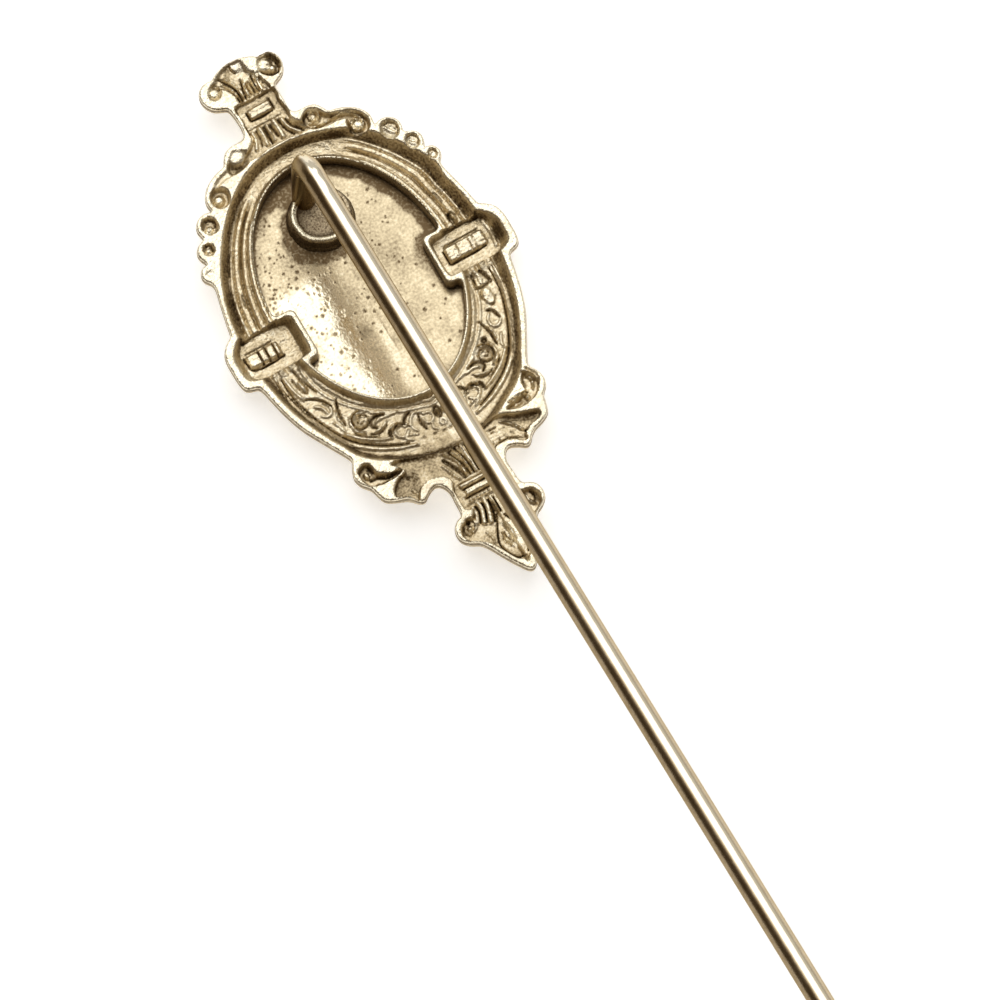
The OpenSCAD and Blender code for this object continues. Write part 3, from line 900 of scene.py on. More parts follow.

    # Mostly painted shade on walls and hollows that lie in shadow, and painted light, with amounts below
    # zero, on lit slopes, beads and walls.
    painted_patches: Sequence[PaintedPatch] = tuple(PaintedPatch((u, v), radius, amount) for u, v, radius, amount in (
        (-3.0, -8.5, 0.95, 0.36), (-2.4, -7.75, 0.8, 0.2), (-1.3, -8.5, 0.9, 0.22),
        (6.7, 0.1, 0.68, 0.42), (6.3, 1.05, 0.5, 0.25), (-3.78, 0.1, 0.6, 0.12),
        (-6.72, 0.35, 0.5, -0.28), (-6.65, -0.35, 0.5, -0.28), (-5.2, 1.25, 0.4, -0.2),
        (-5.8, 1.2, 0.4, -0.2), (-4.6, 1.2, 0.4, -0.15), (4.3, 1.1, 0.5, -0.15),
        (3.65, 0.5, 0.4, -0.2), (3.65, -0.3, 0.4, -0.2), (-2.0, 8.8, 0.95, 0.45),
        (4.66, 6.55, 0.4, -0.22), (5.3, 5.55, 0.3, -0.22), (5.8, 4.55, 0.2, -0.2),
        (-3.75, 7.4, 0.4, -0.15), (-4.78, 6.4, 0.32, -0.25), (-5.3, 5.5, 0.2, -0.2),
        (1.35, 8.9, 0.4, 0.3), (0, 8.1, 1.9, 0.1), (-1.6, -11.75, 0.6, 0.15),
        (1.9, -11.8, 0.6, 0.15), (2.5, -7.98, 0.35, 0.25), (3.0, -8.22, 0.42, 0.34),
        (3.5, -8.42, 0.42, 0.36), (-0.65, 12.55, 0.6, 0.2), (0.5, 12.1, 0.4, 0.12),
        (-1.25, -9.9, 0.35, 0.14), (0.15, 12.6, 0.32, -0.4), (0.75, 12.1, 0.35, -0.35),
        (-0.9, -12.7, 0.8, 0.14), (0, -13.0, 0.7, -0.35), (0.3, -12.4, 0.5, -0.25),
        (3.6, -7.7, 0.5, 0.12), (-4.3, -7.2, 0.5, 0.16), (1.85, 12.2, 0.45, 0.2),
        (0.2, 10.3, 1.1, 0.17), (5.9, 4.0, 1.6, 0.02), (1.08, 10.3, 0.3, 0.25),
        (1.08, 9.8, 0.3, 0.25), (-3.7, -6.55, 0.5, 0.2), (-3.05, -7.0, 0.5, 0.22),
        (-2.3, -7.35, 0.55, 0.24), (-1.4, -7.55, 0.6, 0.26), (-0.5, -7.65, 0.6, 0.26),
        (4.9, 0.1, 1.7, 0.09), (-5.3, 0.1, 1.7, 0.09), (-2.2, -5.4, 1.3, 0.08),
        (-0.7, -6.4, 1.0, 0.1),
    ))

    def build(self) -> bpy.types.Object:
        """Shapes the frame's relief and its finish.

        Returns:
            The piece that stands for the CAD frame.
        """
        rim = Ring.mirrored(self.outline, 3)
        rim.points[:, 0] += self.lean * np.exp(-(((rim.points[:, 1] - self.lean_v) / 0.7) ** 2))

        def signed(p: np.ndarray) -> np.ndarray:
            """Returns the distance from the sheet's edge, below zero in the sheet."""
            return np.maximum(rim.signed(p), -self.opening.signed(p))

        sheet = SheetSolid(self.pitch, self.lo, self.hi, signed)
        p = sheet.points
        inner, outer = self.opening.signed(p), -rim.signed(p)
        back, painted_shading = self.back_heights(p, inner, outer)
        front = sheet.blurred(back, self.soften) - self.thickness
        lip = eased((0.5 - inner) / 0.22)
        front = np.maximum(front * (1 - lip) + np.minimum(front, self.lip) * lip, self.lowest)
        walls = self.walls(sheet, inner, outer, back, front)
        verts, faces, source, under = sheet.mesh(self.plan, back, front, *walls)
        tone = self.tarnish_and_painted_light(sheet, back, painted_shading)[source]
        at_hole = (inner < outer)[source]
        wall = slice(len(p), len(source) - under)
        # Painted shade on the walls: the opening's wall dark, the outer walls darkest near the back and
        # lighter towards the front.
        rows = np.repeat(self.wall_shades, sheet.edge.sum())
        tone[wall] = np.where(at_hole[wall], self.hole_shade, rows)
        tone[len(source) - under:] = self.front_tone
        piece = build_mesh("struck_frame", verts, faces, tone, self.finish)
        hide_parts("frame")
        return piece

    def walls(self, sheet: SheetSolid, inner: np.ndarray, outer: np.ndarray, back: np.ndarray,
              front: np.ndarray) -> tuple[np.ndarray, np.ndarray]:
        """Sets the rows of the frame's walls, with the plate's groove in the opening's wall.

        Args:
            sheet: the frame's sheet.
            inner: distance from the opening.
            outer: distance from the outline.
            back: the back's heights.
            front: the front's heights.

        Returns:
            How far each row stands out, and its heights.
        """
        at_hole = (inner < outer)[sheet.edge]
        top, foot = back[sheet.edge], front[sheet.edge]
        deep, high, low = -self.groove_in, self.groove_top, self.groove_foot
        in_hole = ((0.0, high), (deep, high), (deep, low), (0.0, low))
        outside = ((0.012, 0.15), (0.02, 0.45), (0.02, 0.6), (0.01, 0.88))
        rows = list(zip(in_hole, outside))
        pushes = np.array([np.where(at_hole, hole[0], rim[0]) for hole, rim in rows])
        heights = np.array([np.where(at_hole, hole[1], top + (foot - top) * rim[1])
                            for hole, rim in rows])
        return pushes, heights

    def back_heights(self, p: np.ndarray, inner: np.ndarray,
                     outer: np.ndarray) -> tuple[np.ndarray, np.ndarray]:
        """Gives the relief of the back and the painted shading on it.

        The height is the lowest of all the hollows, plus the strokes that stand on their floors,
        less a round of the edges and a slight unevenness. The painted shade grows with the depth of
        the grooves and lies on the channel's outer wall, and a painted highlight lightens the ridges.

        Args:
            p: points on the plan.
            inner: distance from the opening.
            outer: distance from the outline.

        Returns:
            The heights and the painted shading.
        """
        h, wall = self.channel(p)
        strap = self.strap(p)
        # Painted shade on the channel's outer wall, outside the straps.
        painted_shading = self.channel_wall_shade * wall * (strap > -0.3)
        h = np.minimum(h, strap)
        for hollow in self.hollows:
            h = np.minimum(h, hollow.height(p))
        for relief in self.reliefs():
            up, down = relief.lift(p)
            h = h + up + down
            # Painted shade in the grooves, less a painted highlight on the ridges.
            groove = self.groove_shade * np.clip(-down / self.shade_depth, 0, 1)
            painted_shading += groove - self.ridge_highlight * np.clip(up / self.shade_depth, 0, 1)
        h = np.minimum(h, 0.0) + 0.012 * noise(p, 0.7, 3)
        h = h + (0.012 * noise(p, 0.24, 4) + 0.01 * noise(p, 0.12, 5)) * eased(-h / 0.2)
        near, bend = np.minimum(inner, outer), self.edge_round
        rounded = bend * (1 - np.sqrt(np.clip(1 - np.clip(1 - near / bend, 0, 1) ** 2, 0, 1)))
        return h - rounded, painted_shading

    def channel(self, p: np.ndarray) -> tuple[np.ndarray, np.ndarray]:
        """Gives the oval channel: its two walls, the mouldings of its upper half and its floor.

        Args:
            p: points on the plan.

        Returns:
            The heights, zero outside the channel, and the painted shade on its outer wall and mouldings.
        """
        d = self.opening.oval().signed(p)
        u, v = np.abs(p[:, 0]), p[:, 1]
        wider = self.wider * (p[:, 0] > 0) * eased((v - 3.2) / 1.2) * eased((8.3 - v) / 1.0)
        out = -Ring.mirrored(self.rim_edge).signed(p * (1 - wider[:, None]))
        t = self.moulding_run * d / np.maximum(d + out, 0.1)
        share = eased((u - 2.2) / 0.9)
        upper = profile(d, self.plain_floor) * (1 - share) + profile(t, self.moulding) * share
        down = eased((-v - 0.6) / 0.8)
        run = upper * (1 - down) + profile(d, self.low_floor) * down
        wall = np.interp(out, (0, self.wall_run), (0, -self.wall_depth))
        # Painted shade on the outer wall and along the grooves of the mouldings.
        on_wall = eased(out / 0.08) * eased((0.52 - out) / 0.14)
        lines = profile(t, self.moulding_shade) * share * (1 - down)
        channel_shading = np.maximum(on_wall, 0.75 * lines * (d > 0) * (out > 0))
        return np.where(d > 0, np.maximum(run, wall), 0.0) * (out > 0), channel_shading

    def strap(self, p: np.ndarray) -> np.ndarray:
        """Gives the two straps: level floors whose walls run up to a wider outline.

        The depth is eased over the share of the way from the outline to the floor.

        Args:
            p: points on the plan.

        Returns:
            The heights, zero outside the straps.
        """
        near = np.flatnonzero((np.abs(p[:, 0]) > 3.3) & (np.abs(p[:, 1] - 0.2) < 1.4))
        q = Side.BOTH.fold(p[near])
        top = -Ring(spline(self.strap_edge, COURSE_STEPS, True)).signed(q)
        q[:, 0] += 0.24 * np.clip(4.6 - q[:, 0], 0, 1) * (p[near, 0] > 0)
        floor = Ring(spline(self.strap_floor, COURSE_STEPS, True))
        foot = np.maximum(floor.signed(q), 0)
        out = np.zeros(len(p))
        out[near] = -self.strap_depth * eased(top / np.maximum(np.abs(top) + foot, 1e-6))
        return out

    def reliefs(self) -> Sequence[Relief]:
        """Returns the strokes of the ornament, floor by floor."""
        return (self.band(), self.panels(), self.crest(),
                self.shoulders(), self.leaves(), self.pendant())

    def band(self) -> Relief:
        """Returns the scrolls and borders of the channel's lower half."""
        left, right = Side.LEFT, Side.RIGHT
        return Relief((
            Stroke(((-5.62, -1.5), (-5.55, -2.2), (-5.3, -3.2), (-5.1, -3.7)), 0.05, -0.2, left, 1),
            Stroke(((-4.78, -1.3), (-4.6, -2.0), (-4.3, -2.7)), 0.05, -0.2, left, 1),
            Stroke(((-5.02, -1.7), (-4.9, -2.3), (-4.7, -2.55), (-4.6, -2.2), (-4.72, -1.75)), 0.05, -0.16,
                   left, 1),
            Stroke(((-4.82, -1.9), (-4.74, -2.3)), 0.08, 0.16, left),
            Stroke(((-5.0, -2.75), (-4.6, -2.95), (-4.3, -3.2), (-4.05, -3.65)), 0.06, -0.24, left),
            Stroke(((-5.3, -1.5), (-5.2, -2.2), (-5.0, -2.8)), 0.1, 0.18, left),
            Stroke(((-4.75, -3.3), (-4.5, -3.5), (-4.35, -3.9)), 0.1, 0.2, left),
            Stroke(((5.62, -1.3), (5.52, -2.5), (5.2, -3.6), (4.92, -4.3), (4.42, -5.3), (3.85, -5.95),
                    (3.1, -6.5), (2.3, -6.9), (1.5, -7.15)), 0.13, 0.2, end=0.5),
            Stroke(((5.38, -1.4), (5.32, -2.5), (5.05, -3.5), (4.78, -4.2), (4.3, -5.15), (3.75, -5.8),
                    (3.05, -6.3), (2.3, -6.7), (1.8, -6.9)), 0.06, -0.2, end=0.5),
            Stroke(((4.2, -1.3), (4.05, -2.2), (3.7, -3.0), (3.1, -3.9), (2.3, -4.6), (1.3, -5.2),
                    (0, -5.55)), 0.1, 0.1, end=1),
            Stroke(((4.42, -1.3), (4.33, -2.2), (3.98, -3.1), (3.3, -4.05), (2.4, -4.85), (1.3, -5.45),
                    (0, -5.82)), 0.08, 0.12, end=1),
            Stroke(((4.5, -1.35), (4.45, -1.65), (4.42, -1.95)), 0.1, -0.2, side=right),
            Stroke(((4.95, -1.3), (5.08, -1.65), (5.15, -2.0)), 0.11, -0.24, side=right),
            Stroke(((4.35, -2.02), (4.8, -2.05), (5.2, -1.98)), 0.07, -0.18, side=right),
            Stroke(((4.7, -1.2), (4.78, -1.55), (4.72, -1.9)), 0.13, 0.14, side=right),
            Stroke(((4.72, -2.3), (4.66, -2.6), (4.74, -2.85)), 0.34, 0.2, right),
            Stroke(((4.48, -2.2), (4.4, -2.5), (4.45, -2.75)), 0.06, -0.12, right),
            Stroke(((4.98, -2.75), (4.82, -2.98), (4.6, -3.02)), 0.06, -0.12, right),
            Stroke(((4.3, -3.12), (4.48, -3.22), (4.58, -3.42), (4.66, -3.68)), 0.08, -0.24, side=right),
            Stroke(((4.3, -3.3), (4.1, -3.6), (4.18, -3.92), (4.45, -3.98), (4.65, -3.8)), 0.09, 0.16),
            Stroke(((3.7, -3.45), (3.88, -4.0), (3.92, -4.75)), 0.07, -0.2),
            Stroke(((3.95, -3.8), (4.05, -4.3), (3.98, -4.7)), 0.06, 0.12),
            boss((3.48, -4.3), 0.17, -0.26, right),
            curl((3.18, -4.9), 0.5, 0.1, 100, -1.6, 0.07, -0.17),
            curl((3.18, -4.9), 0.42, 0.1, 100, -1.5, 0.07, 0.14),
            Stroke(((2.15, -5.12), (2.5, -5.02), (2.82, -5.12), (2.92, -5.35), (2.72, -5.55)), 0.08, -0.22),
            Stroke(((2.25, -5.6), (2.5, -5.76), (2.78, -5.82), (3.15, -5.68)), 0.06, -0.16),
            Stroke(((2.2, -5.45), (2.5, -5.62), (2.85, -5.66)), 0.07, 0.13),
            Stroke(((2.28, -5.92), (2.36, -6.05), (2.36, -6.22)), 0.1, -0.26),
            curl((1.85, -6.2), 0.33, 0.26, 200, 0.9, 0.09, 0.16),
            Stroke(((1.58, -6.0), (1.75, -5.9), (1.95, -5.88), (2.15, -6.02)), 0.09, -0.26),
            Stroke(((1.95, -6.5), (1.8, -6.7), (1.6, -6.85)), 0.09, 0.14),
            Stroke(((1.1, -5.6), (1.4, -5.72), (1.62, -5.95)), 0.08, -0.2),
            Stroke(((1.0, -5.75), (1.25, -5.95), (1.35, -6.3), (1.2, -6.6)), 0.09, 0.14),
            Stroke(((0.82, -5.9), (0.9, -6.3), (0.8, -6.7)), 0.07, -0.18),
            curl((0.5, -6.25), 0.28, 0.22, 90, 0.8, 0.08, 0.15),
            Stroke(((0.45, -6.5), (0.5, -6.8), (0.35, -6.95)), 0.08, 0.13),
            Stroke(((0, -5.95), (0.1, -6.2), (0, -6.45)), 0.1, -0.24),
            Stroke(((0, -6.55), (0.12, -6.75), (0, -6.9)), 0.08, 0.12),
            Stroke(((1.2, -6.98), (1.02, -7.02)), 0.06, -0.1),
            Stroke(((0.7, -7.06), (0.5, -7.1)), 0.06, -0.1),
            Stroke(((0.25, -7.14), (0.05, -7.15)), 0.06, -0.1),
            Stroke(((5.6, 1.55), (5.35, 3.0), (5.0, 4.2)), 0.08, 0.1),
            Stroke(((5.0, 1.2), (4.95, 1.5), (5.1, 1.72), (5.25, 1.5), (5.22, 1.15)),
                   0.07, -0.16, side=right),
            Stroke(((4.95, 2.9), (5.02, 2.6), (5.05, 2.3)), 0.08, -0.14),
            Stroke(((4.15, -5.1), (3.6, -5.65), (2.9, -6.1), (2.4, -6.3)), 0.1, 0.22),
            Stroke(((3.75, -5.25), (3.35, -5.7), (2.8, -5.95)), 0.05, -0.14),
            Stroke(((2.0, -5.3), (2.4, -5.22), (2.7, -5.3)), 0.09, 0.2),
            Stroke(((1.5, -5.35), (1.95, -5.25), (2.3, -5.0), (2.7, -4.75)), 0.07, 0.16),
            Stroke(((2.4, -5.95), (2.05, -5.82), (1.65, -5.9), (1.4, -6.2)), 0.08, 0.2),
            Stroke(((3.6, -4.5), (3.72, -4.9), (3.6, -5.3), (3.3, -5.5)), 0.08, 0.2),
            Stroke(((4.35, -4.35), (4.15, -4.7), (4.1, -5.0)), 0.08, 0.16),
            Stroke(((0.95, -5.75), (0.7, -5.85), (0.55, -6.05)), 0.07, 0.16),
            Stroke(((1.2, -6.75), (1.6, -6.6), (2.0, -6.55)), 0.06, 0.14),
        ), (0.02, 0.18), 0.5)

    def panels(self) -> Relief:
        """Returns the raised, barred panels of the straps."""
        left, right = Side.LEFT, Side.RIGHT
        field_r = [Stroke(((4.12, v), (5.86, v)), 0.14, 0.15, right, 1) for v in (-0.22, -0.06, 0.1, 0.28)]
        field_l = [Stroke(((-6.22, v), (-4.84, v)), 0.14, 0.15, left, 1) for v in (-0.2, -0.05, 0.1, 0.22)]
        cuts_r = [Stroke(((u, -0.3), (u + 0.03, 0.38)), 0.04, -0.045, right, 1) for u in (4.58, 5.2, 5.42)]
        cuts_l = [Stroke(((u, -0.32), (u + 0.02, 0.32)), 0.06, -0.13, left, 1)
                  for u in (-5.72, -5.36, -4.96)]
        return Relief(tuple(field_r + field_l + cuts_r + cuts_l) + (
            Stroke(((4.0, -0.4), (4.9, -0.42), (5.8, -0.38)), 0.055, -0.12, right, 1),
            Stroke(((3.95, -0.35), (3.95, 0.3)), 0.045, -0.1, right, 1),
            Stroke(((4.05, 0.5), (5.85, 0.52)), 0.045, -0.05, right, 1),
            Stroke(((-6.42, 0.3), (-6.34, -0.25), (-6.1, -0.42), (-5.6, -0.46), (-4.7, -0.42)), 0.06,
                   -0.12, left, 1),
            Stroke(((-6.3, 0.46), (-4.9, 0.44)), 0.04, -0.05, left, 1),
            Stroke(((6.25, 0.7), (6.32, 0.1), (6.25, -0.6)), 0.12, 0.07, right, 1),
            Stroke(((4.3, 1.0), (5.0, 1.02), (6.1, 0.99)), 0.06, -0.1, end=1),
        ), (0.04, 0.19))

    def crest(self) -> Relief:
        """Returns the plumes, the bar and the ribs of the crown."""
        left, right = Side.LEFT, Side.RIGHT
        return Relief((
            Stroke(((-0.34, 10.18), (0.56, 10.18)), 0.16, 0.11, left, 1),
            Stroke(((-0.34, 10.4), (0.56, 10.4)), 0.17, 0.11, left, 1),
            Stroke(((-0.5, 10.45), (-0.49, 10.12), (-0.4, 10.03), (0.0, 10.0), (0.6, 10.02)), 0.05,
                   -0.12, left, 1),
            Stroke(((0.72, 10.6), (0.72, 10.05)), 0.05, -0.08, left, 1),
            Stroke(((-0.45, 10.6), (0.7, 10.62)), 0.035, -0.02, left, 1),
            Stroke(((-0.8, 10.87), (0, 10.9), (0.85, 10.87)), 0.035, -0.04, left, 1),
            Stroke(((-0.8, 9.66), (0, 9.68), (0.9, 9.66)), 0.035, -0.035, left, 1),
            Stroke(((-0.86, 10.8), (-0.86, 9.5)), 0.04, -0.1, left, 1),
            Stroke(((-0.72, 9.5), (-0.76, 9.1), (-0.95, 8.7)), 0.09, 0.12, left, 1),
            Stroke(((-0.52, 9.5), (-0.53, 9.1), (-0.62, 8.75)), 0.06, -0.09, left, 1),
            Stroke(((-0.34, 9.55), (-0.34, 9.1), (-0.38, 8.68)), 0.11, 0.13, left, 1),
            Stroke(((-0.14, 9.5), (-0.14, 9.1), (-0.16, 8.62)), 0.05, -0.12, left, 1),
            Stroke(((0.0, 9.5), (0.0, 9.1), (0.0, 8.68)), 0.08, 0.12, left, 1),
            Stroke(((0.17, 9.45), (0.2, 9.1), (0.24, 8.82)), 0.07, -0.1, left, 1),
            Stroke(((0.4, 9.55), (0.42, 9.1), (0.42, 8.68)), 0.13, 0.13, left, 1),
            Stroke(((0.6, 9.5), (0.68, 9.0), (0.92, 8.55)), 0.05, -0.12, left, 1),
            Stroke(((0.76, 9.45), (0.86, 8.95), (1.2, 8.5)), 0.09, 0.12, left, 1),
            Stroke(((0.93, 9.35), (1.05, 8.95), (1.38, 8.5)), 0.05, -0.12, left, 1),
            Stroke(((1.1, 9.2), (1.3, 8.85), (1.6, 8.5)), 0.07, 0.08, left, 1),
            Stroke(((-0.53, 11.0), (-0.55, 11.35), (-0.75, 11.8), (-1.02, 12.05)), 0.05, -0.1, left),
            Stroke(((-0.46, 11.0), (-0.47, 11.4), (-0.62, 11.85), (-0.9, 12.2)), 0.06, 0.12, left),
            Stroke(((-0.38, 11.0), (-0.36, 11.5), (-0.5, 11.9), (-0.75, 12.3), (-0.85, 12.44)), 0.05,
                   -0.13, left),
            Stroke(((-0.27, 11.0), (-0.25, 11.5), (-0.4, 12.0), (-0.62, 12.38)), 0.07, 0.12, left),
            Stroke(((-0.15, 11.0), (-0.13, 11.35), (-0.03, 11.75), (0.02, 12.0)), 0.05, -0.11, left),
            Stroke(((0.0, 11.0), (0.02, 11.4), (0.1, 11.9)), 0.06, 0.12, left),
            Stroke(((0.12, 11.05), (0.13, 11.7)), 0.035, -0.06, left),
            Stroke(((0.22, 11.0), (0.23, 11.75)), 0.05, 0.12, left),
            Stroke(((0.33, 11.05), (0.34, 11.5), (0.25, 11.8)), 0.035, -0.08, left),
            Stroke(((0.43, 11.0), (0.42, 11.5), (0.45, 11.85)), 0.05, 0.12, left),
            Stroke(((0.52, 11.05), (0.49, 11.5), (0.56, 11.95)), 0.045, -0.12, left),
            Stroke(((0.66, 11.0), (0.67, 11.5), (0.78, 11.9), (0.98, 12.0)), 0.08, 0.14, left),
            Stroke(((0.82, 11.6), (0.88, 11.3), (1.02, 10.98)), 0.1, -0.14, left),
            Stroke(((-0.5, 12.15), (-0.35, 12.5), (-0.2, 12.8)), 0.14, -0.03, left),
            Stroke(((-0.08, 12.85), (-0.12, 12.55), (0.0, 12.3)), 0.045, -0.09, left),
            boss((0.14, 12.6), 0.36, 0.07, left),
            boss((-1.34, 11.94), 0.34, 0.2, left),
            boss((1.33, 12.05), 0.42, 0.16, right),
            boss((1.56, 11.72), 0.2, 0.2, right),
            Stroke(((1.22, 12.46), (1.58, 12.48), (1.82, 12.22), (1.92, 11.88), (1.9, 11.58)),
                   0.12, -0.14, right),
            Stroke(((1.05, 11.82), (1.25, 11.6), (1.55, 11.45), (1.8, 11.5)), 0.05, -0.1, right),
            Stroke(((1.4, 11.98), (1.7, 11.9)), 0.05, -0.05, right),
        ), (-0.035, 0.08))

    def shoulders(self) -> Relief:
        """Returns the rings in the shoulders' scrolls and the shine of their beads."""
        left, right = Side.LEFT, Side.RIGHT
        return Relief((
            curl((2.0, 8.84), 0.36, 0.12, 215, 1.3, 0.06, 0.18, right),
            boss((-2.0, 8.84), 0.62, 0.24, left),
            boss((2.0, 8.84), 0.18, 0.14, right),
            Stroke(((1.7, 8.36), (2.3, 8.3), (2.9, 8.32), (3.4, 8.2), (3.78, 7.85), (3.86, 7.5),
                    (3.66, 7.22), (3.38, 7.3), (3.3, 7.58), (3.5, 7.78), (3.7, 7.66)), 0.08, 0.26, right),
            boss((3.6, 7.5), 0.3, 0.2, right),
            boss((-3.68, 7.42), 0.3, 0.24, left),
            curl((4.7, 6.5), 0.38, 0.36, 110, -0.45, 0.06, -0.08, right),
            Stroke(((4.55, 6.75), (4.66, 6.55), (4.84, 6.3)), 0.11, 0.1, right),
            curl((5.32, 5.54), 0.29, 0.27, 110, -0.45, 0.06, -0.08, right),
            Stroke(((5.2, 5.62), (5.28, 5.46), (5.4, 5.36)), 0.1, 0.1, right),
            curl((5.82, 4.56), 0.17, 0.16, 110, -0.45, 0.05, -0.06, right),
            boss((-4.74, 6.42), 0.22, 0.18, left),
            boss((-5.27, 5.54), 0.15, 0.14, left),
            curl((-4.66, 6.56), 0.3, 0.26, 100, -0.35, 0.1, -0.1, left),
            curl((-5.26, 5.6), 0.2, 0.2, 100, -0.4, 0.07, -0.08, left),
        ), (0.0, 0.08))

    def leaves(self) -> Relief:
        """Returns the veins of the two leaves on either side."""
        left, right = Side.LEFT, Side.RIGHT
        combs = [Stroke(((1.45 + 0.3 * k, -8.62), (1.42 + 0.36 * k, -8.86)), 0.035, -0.05, right)
                 for k in (0, 1, 2, 3)]
        return Relief(tuple(combs) + (
            Stroke(((-4.36, -7.2), (-4.32, -7.42)), 0.15, 0.22, left),
            Stroke(((-4.05, -6.95), (-4.0, -7.3)), 0.12, -0.05, left),
            Stroke(((-4.27, -7.58), (-3.85, -7.62), (-3.6, -7.78), (-3.2, -7.84), (-2.9, -7.78)), 0.075,
                   -0.11, left),
            Stroke(((-4.2, -7.9), (-3.6, -7.98), (-3.0, -8.02)), 0.035, -0.08, left),
            Stroke(((-2.85, -8.9), (-2.72, -9.25)), 0.1, 0.08, left),
            boss((-2.75, -8.3), 0.1, -0.05, left),
            Stroke(((4.28, -6.7), (4.43, -7.0), (4.28, -7.38)), 0.08, 0.18, right),
            Stroke(((4.05, -6.85), (4.03, -7.15)), 0.08, -0.05, right),
            boss((3.85, -7.64), 0.14, 0.14, right),
            Stroke(((2.9, -7.52), (3.5, -7.44), (4.0, -7.4)), 0.05, -0.1, right),
            Stroke(((3.1, -7.72), (3.5, -7.68)), 0.09, 0.08, right),
            Stroke(((4.4, -6.45), (4.62, -6.8), (4.68, -7.12), (4.55, -7.4)), 0.08, -0.1, right),
            Stroke(((2.15, -8.0), (2.6, -8.4), (2.95, -8.9)), 0.07, 0.12, right),
            Stroke(((1.5, -8.18), (1.9, -8.15)), 0.04, -0.06, right),
            Stroke(((1.5, -8.3), (1.75, -8.32)), 0.03, -0.05, right),
            boss((3.02, -8.98), 0.1, -0.12, right),
            Stroke(((1.35, -8.98), (1.7, -8.86), (2.1, -8.87), (2.45, -9.0), (2.75, -9.2)), 0.035, -0.08,
                   right),
        ), (-0.016, 0.11))

